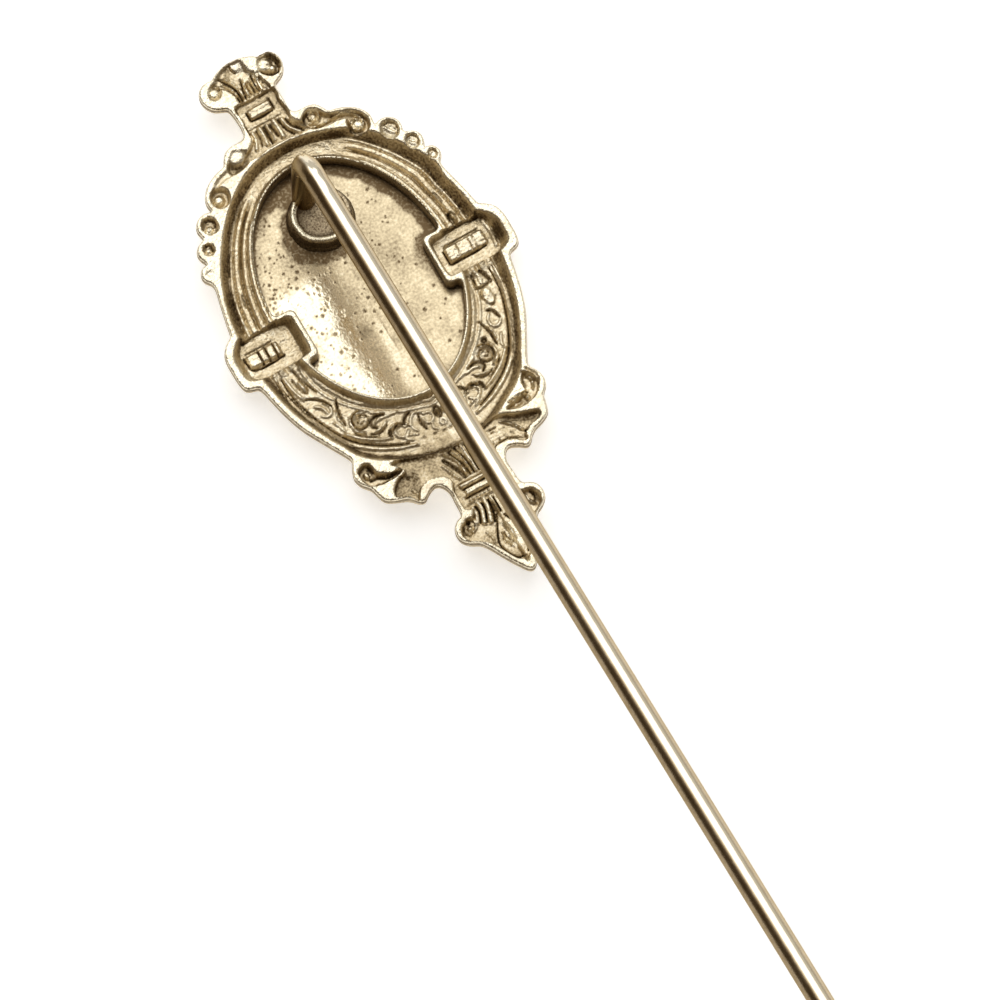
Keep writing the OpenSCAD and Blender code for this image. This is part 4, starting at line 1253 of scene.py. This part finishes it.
    def pendant(self) -> Relief:
        """Returns the ribs and bars of the pendant's neck and the leaf in its drop."""
        left, right = Side.LEFT, Side.RIGHT
        beads = [boss((u, -10.57), 0.07, 0.1, left) for u in (-0.85, -0.66, -0.46, -0.26, -0.06, 0.14)]
        return Relief(tuple(beads) + (
            Stroke(((-0.85, -9.84), (0.9, -9.84)), 0.13, 0.16, left, 1),
            Stroke(((-0.75, -10.13), (0.9, -10.13)), 0.1, 0.15, left, 1),
            Stroke(((-0.75, -10.26), (0.9, -10.26)), 0.1, 0.15, left, 1),
            Stroke(((-1.0, -9.7), (0.0, -9.7), (1.0, -9.7)), 0.035, -0.06, left, 1),
            Stroke(((-0.9, -9.99), (1.0, -9.99)), 0.04, -0.1, left, 1),
            Stroke(((-0.95, -10.42), (1.0, -10.42)), 0.045, -0.11, left, 1),
            Stroke(((-1.0, -10.72), (0.0, -10.72), (1.0, -10.72)), 0.06, 0.08, left, 1),
            Stroke(((-0.85, -8.12), (-0.6, -8.4), (-0.42, -8.8), (-0.32, -9.5)), 0.07, 0.13, left, 1),
            Stroke(((-0.95, -8.38), (-0.75, -8.75), (-0.54, -9.2), (-0.46, -9.5)), 0.1, -0.13, left, 1),
            Stroke(((-1.12, -8.6), (-0.95, -9.0), (-0.72, -9.5)), 0.07, 0.1, left, 1),
            Stroke(((-0.55, -8.15), (-0.36, -8.6), (-0.22, -9.0), (-0.19, -9.5)), 0.045, -0.12, left, 1),
            Stroke(((-0.4, -8.05), (-0.2, -8.5), (-0.1, -9.0), (-0.08, -9.5)), 0.06, 0.13, left, 1),
            Stroke(((-0.22, -8.05), (-0.06, -8.6), (0.0, -9.1), (0.02, -9.5)), 0.04, -0.12, left, 1),
            Stroke(((0.06, -8.05), (0.12, -8.8), (0.14, -9.5)), 0.09, 0.13, left, 1),
            Stroke(((0.28, -8.1), (0.28, -8.8), (0.28, -9.5)), 0.05, -0.12, left, 1),
            Stroke(((0.75, -8.1), (0.68, -8.8), (0.6, -9.5)), 0.1, 0.13, left, 1),
            Stroke(((-0.26, -10.85), (-0.3, -11.3), (-0.5, -11.95)), 0.14, 0.17, left, 1),
            Stroke(((-0.44, -10.95), (-0.44, -11.3), (-0.66, -11.85)), 0.045, -0.16, left, 1),
            Stroke(((-0.6, -10.9), (-0.6, -11.3), (-0.79, -11.85)), 0.13, 0.17, left, 1),
            Stroke(((-0.76, -10.95), (-0.75, -11.3), (-0.94, -11.75)), 0.04, -0.14, left, 1),
            Stroke(((-0.92, -11.0), (-0.91, -11.35), (-1.07, -11.7)), 0.12, 0.15, left, 1),
            Stroke(((-0.11, -10.95), (-0.14, -11.5), (-0.32, -12.0)), 0.045, -0.16, left, 1),
            Stroke(((0.03, -10.9), (0.03, -11.6)), 0.11, 0.17, left, 1),
            Stroke(((0.16, -10.95), (0.15, -11.7)), 0.05, -0.12, left, 1),
            Stroke(((0.6, -10.9), (0.6, -11.6)), 0.1, 0.12, left, 1),
            Stroke(((-0.1, -11.75), (-0.27, -12.1), (-0.55, -12.65), (-0.68, -13.05), (-0.62, -13.4),
                    (-0.45, -13.8), (-0.2, -14.03), (0.1, -14.1)), 0.045, -0.12, left, 1),
            Stroke(((0.2, -11.9), (0.55, -12.65), (0.68, -13.05), (0.55, -13.5), (0.3, -13.95)), 0.045,
                   -0.12, left, 1),
            Stroke(((-0.02, -12.3), (0.06, -12.75), (0.04, -13.15)), 0.14, 0.14, left),
            Stroke(((-0.26, -12.55), (-0.22, -12.9), (-0.06, -13.3)), 0.035, -0.09, left),
            Stroke(((-0.42, -12.85), (-0.38, -13.2), (-0.15, -13.6)), 0.035, -0.06, left),
            Stroke(((-0.34, -12.6), (-0.32, -13.0), (-0.2, -13.4)), 0.05, 0.08, left),
            Stroke(((-0.95, -12.25), (-0.82, -12.6), (-0.86, -12.9)), 0.07, 0.08, left),
            boss((-1.45, -11.47), 0.13, -0.14, left),
            Stroke(((-1.22, -11.35), (-1.15, -11.65), (-1.27, -11.9), (-1.55, -12.02)), 0.07, 0.12, left),
            boss((-1.5, -11.8), 0.15, 0.16, left),
            Stroke(((-1.74, -11.58), (-1.8, -11.88), (-1.62, -12.12)), 0.06, -0.06, left),
            Stroke(((1.48, -11.55), (1.52, -12.0), (1.7, -12.2)), 0.08, 0.14, right),
            Stroke(((1.72, -11.55), (1.82, -11.85), (1.68, -12.1)), 0.05, -0.08, right),
            Stroke(((1.9, -11.6), (1.97, -11.9), (1.85, -12.15)), 0.05, 0.08, right),
        ), (-0.018, 0.11))

    def tarnish_and_painted_light(self, sheet: SheetSolid, back: np.ndarray, painted_shading: np.ndarray) -> np.ndarray:
        """Paints shade on what lies deep, steep or under its surroundings.

        The tone is the weighted sum of how far a point lies under its surroundings, its depth and
        its slope, which paint shade in the hollows and on the walls with some patina in the deep parts,
        plus the painted shading of the strokes, the painted patches and a slight random unevenness.

        Args:
            sheet: the frame's sheet.
            back: the back's heights.
            painted_shading: painted shade in the grooves and on the channel's outer wall, below zero
                where a painted highlight lies on the ridges.

        Returns:
            How dark each point is.
        """
        # Painted shade under the surroundings, in deep parts and on steep slopes.
        cavity = np.clip((sheet.blurred(back, 0.15) - back) / 0.2, 0, 1)
        depth = eased(-back / 0.3)
        steep = eased((self.slope(sheet, back) - 1.0) / 1.5)
        patches = sum(one_patch.tone(sheet.points) for one_patch in self.painted_patches) * eased(-back / 0.15)
        uneven = self.uneven_tone * eased(0.5 + noise(sheet.points, 0.8, 52))
        tone = self.cavity_shade * cavity + self.depth_tone * depth + self.steep_shade * steep
        return tone + painted_shading + patches + uneven

    @staticmethod
    def slope(sheet: SheetSolid, back: np.ndarray) -> np.ndarray:
        """Returns how steeply the back falls at each point, from its grid neighbours."""
        grid = np.zeros(sheet.numbers.shape)
        grid[sheet.numbers >= 0] = sheet.blurred(back, sheet.pitch)
        du, dv = np.gradient(grid, sheet.pitch)
        return np.hypot(du, dv)[sheet.numbers >= 0] * ~sheet.edge


def boss(at: tuple[float, float], width: float, rise: float,
         side: Side = Side.BOTH) -> Stroke:
    """Returns a round boss or pit as a very short stroke."""
    u, v = at
    return Stroke(((u - BOSS_REACH, v), (u + BOSS_REACH, v)), width, rise, side, 1.0)


@dataclass
class BackPlate:
    """The oval plate behind the opening, with its satin skin and its pits."""

    plan: Plan
    finish: TonedMetal
    opening: Opening = Opening()
    lo: tuple[float, float] = (-4.7, -5.4)
    hi: tuple[float, float] = (4.7, 7.6)
    pitch: float = 0.05
    back: float = -0.95
    front: float = -1.3
    seat: float = 0.16
    wave: float = 0.02
    ripple: float = 0.004
    pits: int = 430
    pit_depth: float = 0.012
    front_tone: float = 0.35
    base_tone: float = 0.6
    # Where the cup's painted shadow, the stem's painted reflection and the painted highlight lie.
    cup_shadow_at: tuple[float, float] = (-0.4, 4.25)
    cup_shadow_radius: float = 1.85
    stem_reflection_u: float = -0.85
    highlight_u: float = -1.0

    def build(self) -> bpy.types.Object:
        """Shapes the plate.

        Returns:
            The piece.
        """
        sheet = SheetSolid(self.pitch, self.lo, self.hi,
                           lambda p: self.opening.signed(p) - self.seat)
        p = sheet.points
        inside = -self.opening.signed(p)
        back = self.back + self.relief(p) * eased(inside / 0.4)
        front = np.full(len(p), self.front)
        count = int(sheet.edge.sum())
        pushes = np.full((1, count), 0.0)
        heights = np.full((1, count), (self.back + self.front) / 2)
        verts, faces, source, under = sheet.mesh(self.plan, back, front, pushes, heights)
        tone = self.tarnish_and_painted_light(p, inside)[source]
        tone[len(source) - under:] = self.front_tone
        return build_mesh("plate", verts, faces, tone, self.finish)

    def relief(self, p: np.ndarray) -> np.ndarray:
        """Returns slow waves and ripples less the pits."""
        waves = self.wave * noise(p, 3.4, 11) + self.ripple * noise(p, 1.3, 12)
        return waves - self.pit_depth * self.pitted(p)

    def pitted(self, p: np.ndarray) -> np.ndarray:
        """Returns 1 in the middle of each pit and 0 outside them, most on the left."""
        depth = np.zeros(len(p))
        rng = np.random.default_rng(29)
        spread = rng.uniform(0, 1, self.pits) ** 2.6
        for u, v, r in zip(-4 + 8 * spread, rng.uniform(-4.6, 6.5, self.pits),
                           0.05 + 0.06 * rng.uniform(0, 1, self.pits) ** 2):
            near = np.flatnonzero((np.abs(p - (u, v)) < r).all(1))
            share = ((p[near] - (u, v)) ** 2).sum(1) / r**2
            depth[near] = np.maximum(depth[near], np.clip(1 - share, 0, 1))
        return depth

    def tarnish_and_painted_light(self, p: np.ndarray, inside: np.ndarray) -> np.ndarray:
        """Gives the plate's tones.

        They are mostly painted light and shade: a painted highlight on the left part, painted light
        on the low part, the stem's painted reflection in a band, the painted shadow round the cup and
        painted shade along the edge and over the cup, plus the pits and fine spots.

        Args:
            p: points on the plan.
            inside: distance from the opening's edge.

        Returns:
            How dark each point is.
        """
        u, v = p.T
        # Painted shadow of the cup on the plate, offset to the lower left.
        ring = np.hypot(u - self.cup_shadow_at[0], v - self.cup_shadow_at[1])
        cup_shadow = eased((self.cup_shadow_radius + 0.1 * noise(p, 0.5, 23) - ring) / 0.25)
        cup_shadow *= 0.42 + 0.16 * noise(p, 0.14, 28)
        # Painted shade along the opening's edge, widest on the upper right, and over the cup.
        shady = np.clip((0.55 * u + 0.6 * (v - 2.2)) / 3.2, 0, 1)
        rim = eased(1 - inside / 0.5) * 0.15 + eased(1 - inside / 0.16) * 0.5
        rim += 0.85 * shady * eased((0.62 - inside + 0.08 * noise(p, 0.4, 26)) / 0.3)
        over_cup = np.hypot(u + 0.65, (v - 6.6) / 0.75)
        rim += 0.4 * eased((1.5 - over_cup + 0.25 * noise(p, 0.3, 27)) / 0.5)
        # Painted highlight on the left part, painted light on the low part and the stem's painted
        # reflection in a band.
        painted_highlight = eased((self.highlight_u - u + 0.2 * noise(p, 0.8, 25)) / 0.4) * eased((2.8 - v) / 1.0)
        low = eased((-0.5 - v) / 1.0) * eased((0.6 - u) / 0.8)
        stem_reflection = eased(1.5 - np.abs(u - self.stem_reflection_u) / 0.35) * eased((-0.4 - v) / 0.8)
        tone = self.base_tone - 0.5 * painted_highlight - 0.18 * low * (1 - painted_highlight) + 0.2 * stem_reflection
        tone = tone + 0.8 * self.pitted(p)
        spots = eased((noise(p, 0.15, 24) - 0.4) / 0.3) * (0.06 + 0.2 * painted_highlight)
        cloudy = 0.1 * noise(p, 1.7, 21) + 0.08 * noise(p, 0.5, 22)
        return np.clip(tone + cup_shadow + rim + spots + cloudy, 0, 1)


@dataclass
class SolderedCup:
    """The cup that is soldered on the plate, with the solder in it."""

    plan: Plan
    finish: TonedMetal
    middle_v: float = 4.65
    foot: float = -0.97
    steps: int = 128
    solder: float = 0.44
    out_of_round: float = 0.018
    roughness: float = 0.012
    solder_tone: float = 0.72
    lip_tone: float = 0.05
    cup_wall_shade: float = 0.68
    wall: Points = (
        (1.0, 0.0), (1.56, 0.0), (1.57, 0.07), (1.5, 0.16), (1.45, 0.35), (1.42, 0.75), (1.38, 0.86),
        (1.3, 0.92), (1.2, 0.92), (1.12, 0.87), (1.07, 0.76), (1.04, 0.55), (0.95, 0.46), (0.75, 0.42),
        (0.5, 0.42), (0.25, 0.44),
    )

    def build(self) -> bpy.types.Object:
        """Turns the wall's profile about the cup's axis, with a slight wobble.

        Returns:
            The piece.
        """
        r, h = np.asarray(self.wall, float).T
        angle = np.arange(self.steps) * math.tau / self.steps
        around = np.column_stack([np.cos(angle), np.sin(angle)]) * 2
        wobble = 1 + self.out_of_round * noise(around, 0.9, 31)
        u = np.outer(r, np.cos(angle) * wobble)
        v = np.outer(r, np.sin(angle) * wobble) + self.middle_v
        flat = np.column_stack([u.ravel(), v.ravel()])
        rough = noise(flat, 0.16, 32).reshape(u.shape) * (h < 0.5)[:, None] * (r < 1)[:, None]
        high = self.foot + h[:, None] + self.roughness * rough
        verts = [self.plan.place(u.ravel(), v.ravel(), high.ravel())]
        verts.append(self.plan.place(np.zeros(2), np.full(2, self.middle_v),
                                     self.foot + np.array([0, self.solder])))
        faces = turned_faces(len(r), self.steps)
        # Painted shade on the cup's outer wall and on its side towards +u.
        outer = np.where(h > 0.8, self.lip_tone, self.cup_wall_shade)
        tone = np.repeat(np.where(r < 1.08, self.solder_tone, outer), self.steps).reshape(len(r), -1)
        tone = np.maximum(tone, 0.55 * eased((np.cos(angle) + 0.3 * np.sin(angle) - 0.1) / 0.4))
        tone = np.append(tone.ravel(), [0.7, self.solder_tone])
        return build_mesh("cup", np.vstack(verts), faces, tone, self.finish)


@dataclass
class PinStem:
    """The wire: its post, bend, straight stem and point."""

    plan: Plan
    finish: TonedMetal
    radius: float = 0.55
    post_u: float = -0.25
    post_v: float = 5.76
    foot: float = -0.97
    corner: float = 5.13
    bend: float = 1.2
    lift: float = 3.8
    length: float = 56.5
    point: float = 7.0
    tip: float = 0.08
    sides: int = 56
    post_rows: int = 14
    bend_rows: int = 26
    run_rows: int = 180
    point_rows: int = 24
    dent: float = 0.055
    # Painted shade low on the post, and a painted reflection with a highlight round the wire.
    post_shade_h: float = 4.5
    post_shade_v: float = 5.2
    post_shade_tone: float = 0.88
    under_tone: float = 0.5
    painted_reflection_stops: Sequence[float] = (-1, -0.6, -0.25, -0.14, 0.4, 0.55, 1)
    near_painted_reflection: Sequence[float] = (0.88, 0.93, 0.96, 0.02, 0.02, 0.4, 0.6)
    far_painted_reflection: Sequence[float] = (0.8, 0.88, 0.93, 0.05, 0.05, 0.45, 0.66)
    far_v: float = 10.0

    def course(self) -> tuple[np.ndarray, np.ndarray, np.ndarray]:
        """Gives the wire's centre line.

        Returns:
            The places in v and h, the directions there, and the radii.
        """
        turn = math.radians(90 - self.lift)
        reach = self.bend * math.tan(turn / 2)
        rise = np.linspace(self.foot, self.corner - reach, self.post_rows)
        post = np.column_stack([np.full(self.post_rows, self.post_v), rise])
        a = np.linspace(0, turn, self.bend_rows)[1:-1]
        arc = np.column_stack([self.post_v - self.bend + self.bend * np.cos(a),
                               self.corner - reach + self.bend * np.sin(a)])
        along = np.array([-math.cos(math.radians(self.lift)), math.sin(math.radians(self.lift))])
        shoulder = self.length - self.point
        s = np.concatenate([np.linspace(reach, shoulder, self.run_rows)[:-1],
                            np.linspace(shoulder, self.length, self.point_rows)])
        run = np.array([self.post_v, self.corner]) + s[:, None] * along
        line = np.vstack([post, arc, run])
        facing = np.vstack([np.tile([0.0, 1.0], (self.post_rows, 1)),
                            np.column_stack([-np.sin(a), np.cos(a)]), np.tile(along, (len(s), 1))])
        taper = np.clip((s - shoulder) / self.point, 0, 1)
        radii = np.concatenate([np.full(self.post_rows + len(a), self.radius),
                                self.radius + (self.tip - self.radius) * taper])
        return line, facing, radii

    def build(self) -> bpy.types.Object:
        """Sweeps a circle along the centre line and closes both ends.

        The rings run clockwise seen from the point, so that the faces are turned over.

        Returns:
            The piece.
        """
        line, facing, radii = self.course()
        angle = np.arange(self.sides) * math.tau / self.sides
        side = np.column_stack([-facing[:, 1], facing[:, 0]])
        out = radii[:, None] + self.dents(line, angle)
        u = self.post_u + out * np.cos(angle)
        v = line[:, :1] + out * np.sin(angle) * side[:, :1]
        h = line[:, 1:] + out * np.sin(angle) * side[:, 1:]
        tube = self.plan.place(u.ravel(), v.ravel(), h.ravel())
        caps = self.plan.place(np.full(2, self.post_u), line[[0, -1], 0],
                               line[[0, -1], 1] + np.array([0, self.tip * 0.5]))
        faces = [face[:1] + face[:0:-1] for face in turned_faces(len(line), self.sides)]
        tone = np.append(self.tones(line, angle).ravel(), [0.8, 0.4])
        piece = build_mesh("stem", np.vstack([tube, caps]), faces, tone, self.finish)
        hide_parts("plate_and_stem")
        return piece

    def tones(self, line: np.ndarray, angle: np.ndarray) -> np.ndarray:
        """Gives the wire's tones: painted reflection and highlight round it by the stops, and one brown
        tone of painted shade low on its post.

        Args:
            line: the centre line in v and h.
            angle: the places round the wire.

        Returns:
            Rows along the wire by places round it.
        """
        # Painted reflection round the wire: dark on its left side, a painted highlight along its top, a
        # middle tone on its right and one underneath.
        near, far = (np.interp(np.cos(angle), self.painted_reflection_stops, tones)
                     for tones in (self.near_painted_reflection, self.far_painted_reflection))
        share = eased((-self.far_v - line[:, 0]) / 8.0)[:, None]
        tone = np.where(np.sin(angle) > 0.3, self.under_tone, near * (1 - share) + far * share)
        # Painted shade low on the post.
        low = self.post_shade_h - line[:, 1] + 0.5 * noise(line, 0.5, 42)
        post_shade = eased(low / 0.9)[:, None] * (line[:, :1] > self.post_shade_v)
        return tone * (1 - post_shade) + self.post_shade_tone * post_shade

    def dents(self, line: np.ndarray, angle: np.ndarray) -> np.ndarray:
        """Returns the slight marks that bending left on the wire's upper side."""
        spot = np.column_stack([np.repeat(line[:, 0], len(angle)),
                                np.tile(np.cos(angle) * 0.5, len(line))])
        marks = noise(spot, 0.24, 41).reshape(len(line), -1) * np.clip(-np.sin(angle), 0, 1)
        near = eased((line[:, 0] - 3.2) / 1.0) * eased((line[:, 1] - 3.0) / 1.0)
        return self.dent * marks * near[:, None]


@dataclass
class Studio:
    """The camera at the photo's angle, soft light and the floor."""

    plan: Plan
    azimuth: float = -29.7
    elevation: float = 72.0
    scale: float = 22.1
    anchor: tuple[float, float] = (371.5, 297.5)
    pixels: float = 1000.0
    lens: float = 1500.0
    sensor: float = 36.0
    window_at: Rgb = (0.075, 0.45, 0.89)
    side_at: Rgb = (0.75, 0.62, 0.2)
    window_cos: tuple[float, float] = (0.78, 0.89)
    side_cos: tuple[float, float] = (-0.15, 0.75)
    window_light: Rgb = (1.9, 1.9, 1.88)
    side_light: Rgb = (0.62, 0.6, 0.56)
    room_light: Rgb = (0.13, 0.1, 0.07)
    floor_size: float = 2.0
    floor_gap: float = 0.00002

    def build(self) -> None:
        """Sets up the camera, the world, the lights and the floor."""
        self.camera()
        self.world()
        self.floor()
        scene = bpy.context.scene
        scene.view_settings.view_transform = "Standard"
        scene.view_settings.look = "None"
        scene.view_settings.exposure = 0.0

    def axes(self) -> tuple[Vector, Vector, Vector]:
        """Returns the view's right, up and back directions."""
        a, e = math.radians(self.azimuth), math.radians(self.elevation)
        back = Vector((math.sin(a) * math.cos(e), -math.cos(a) * math.cos(e), math.sin(e)))
        right = Vector((math.cos(a), math.sin(a), 0))
        return right, back.cross(right), back

    def camera(self) -> None:
        """Places the camera so that the plan's origin falls on its place in the picture."""
        right, up, back = self.axes()
        origin = Vector(self.plan.place(np.zeros(1), np.zeros(1), np.zeros(1))[0])
        across = (self.pixels / 2 - self.anchor[0]) / self.scale
        down = (self.pixels / 2 - self.anchor[1]) / self.scale
        target = origin + (right * across - up * down) * MM
        width = self.pixels / self.scale * MM
        data = bpy.data.cameras.new("camera")
        data.lens, data.sensor_width = self.lens, self.sensor
        distance = width / self.sensor * self.lens
        data.clip_start, data.clip_end = distance * 0.1, distance * 10
        cam = bpy.data.objects.new("camera", data)
        cam.matrix_world = Matrix.Translation(target + back * distance) @ \
            Matrix((right, up, back)).transposed().to_4x4()
        bpy.context.scene.collection.objects.link(cam)
        bpy.context.scene.camera = cam

    def world(self) -> None:
        """Makes a soft sky: bright overhead and to the picture's top, dark to its foot."""
        world = bpy.data.worlds.new("sky")
        bpy.context.scene.world = world
        world.use_nodes = True
        tree = world.node_tree
        shade = tree.nodes["Background"]
        place = tree.nodes.new("ShaderNodeTexCoord")
        window = self.facing(tree, place, self.window_at, *self.window_cos)
        side = self.facing(tree, place, self.side_at, *self.side_cos)
        room = self.mix(tree, side, self.room_light, self.side_light)
        sky = self.mix(tree, window, room, self.window_light)
        tree.links.new(sky, shade.inputs["Color"])

    @staticmethod
    def facing(tree: bpy.types.NodeTree, place: bpy.types.Node, toward: Rgb, low: float,
               high: float) -> bpy.types.NodeSocket:
        """Adds a soft step from 0 to 1 as a sky direction turns toward another.

        Args:
            tree: the world's nodes.
            place: the node that gives the direction.
            toward: the direction in whose middle the step is 1.
            low: the cosine at which the step starts.
            high: the cosine at which it ends.

        Returns:
            The step's value.
        """
        dot = tree.nodes.new("ShaderNodeVectorMath")
        dot.operation = "DOT_PRODUCT"
        dot.inputs[1].default_value = Vector(toward).normalized()
        tree.links.new(place.outputs["Generated"], dot.inputs[0])
        step = tree.nodes.new("ShaderNodeMapRange")
        step.interpolation_type = "SMOOTHSTEP"
        step.inputs["From Min"].default_value = low
        step.inputs["From Max"].default_value = high
        tree.links.new(dot.outputs["Value"], step.inputs["Value"])
        return step.outputs["Result"]

    @staticmethod
    def mix(tree: bpy.types.NodeTree, share: bpy.types.NodeSocket,
            low: "Rgb | bpy.types.NodeSocket", high: Rgb) -> bpy.types.NodeSocket:
        """Adds a mix of two colours and returns its result."""
        node = tree.nodes.new("ShaderNodeMix")
        node.data_type = "RGBA"
        node.clamp_result = False
        tree.links.new(share, node.inputs["Factor"])
        if isinstance(low, tuple):
            node.inputs[6].default_value = (*low, 1)
        else:
            tree.links.new(low, node.inputs[6])
        node.inputs[7].default_value = (*high, 1)
        return node.outputs[2]

    def floor(self) -> None:
        """Lays the floor just under the pin."""
        size, low = self.floor_size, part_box("frame")[0].z - self.floor_gap
        mesh = bpy.data.meshes.new("floor")
        corners = [(-size, -size, low), (size, -size, low), (size, size, low), (-size, size, low)]
        mesh.from_pydata(corners, [], [(0, 1, 2, 3)])
        mesh.materials.append(PaleFloor().material())
        plane = bpy.data.objects.new("floor", mesh)
        bpy.context.scene.collection.objects.link(plane)


def main() -> None:
    """Builds every piece in order and reports each."""
    logging.basicConfig(level=logging.INFO, format="%(message)s")
    plan = Plan.of_frame()
    for part in (StruckFrame(plan, STRUCK_BRASS), BackPlate(plan, SATIN_BRASS),
                 SolderedCup(plan, SOLDERED_BRASS), PinStem(plan, WIRE_BRASS)):
        piece = part.build()
        log.info("%s: %d faces", piece.name, len(piece.data.polygons))
    Studio(plan).build()


if __name__ == "__main__":
    main()
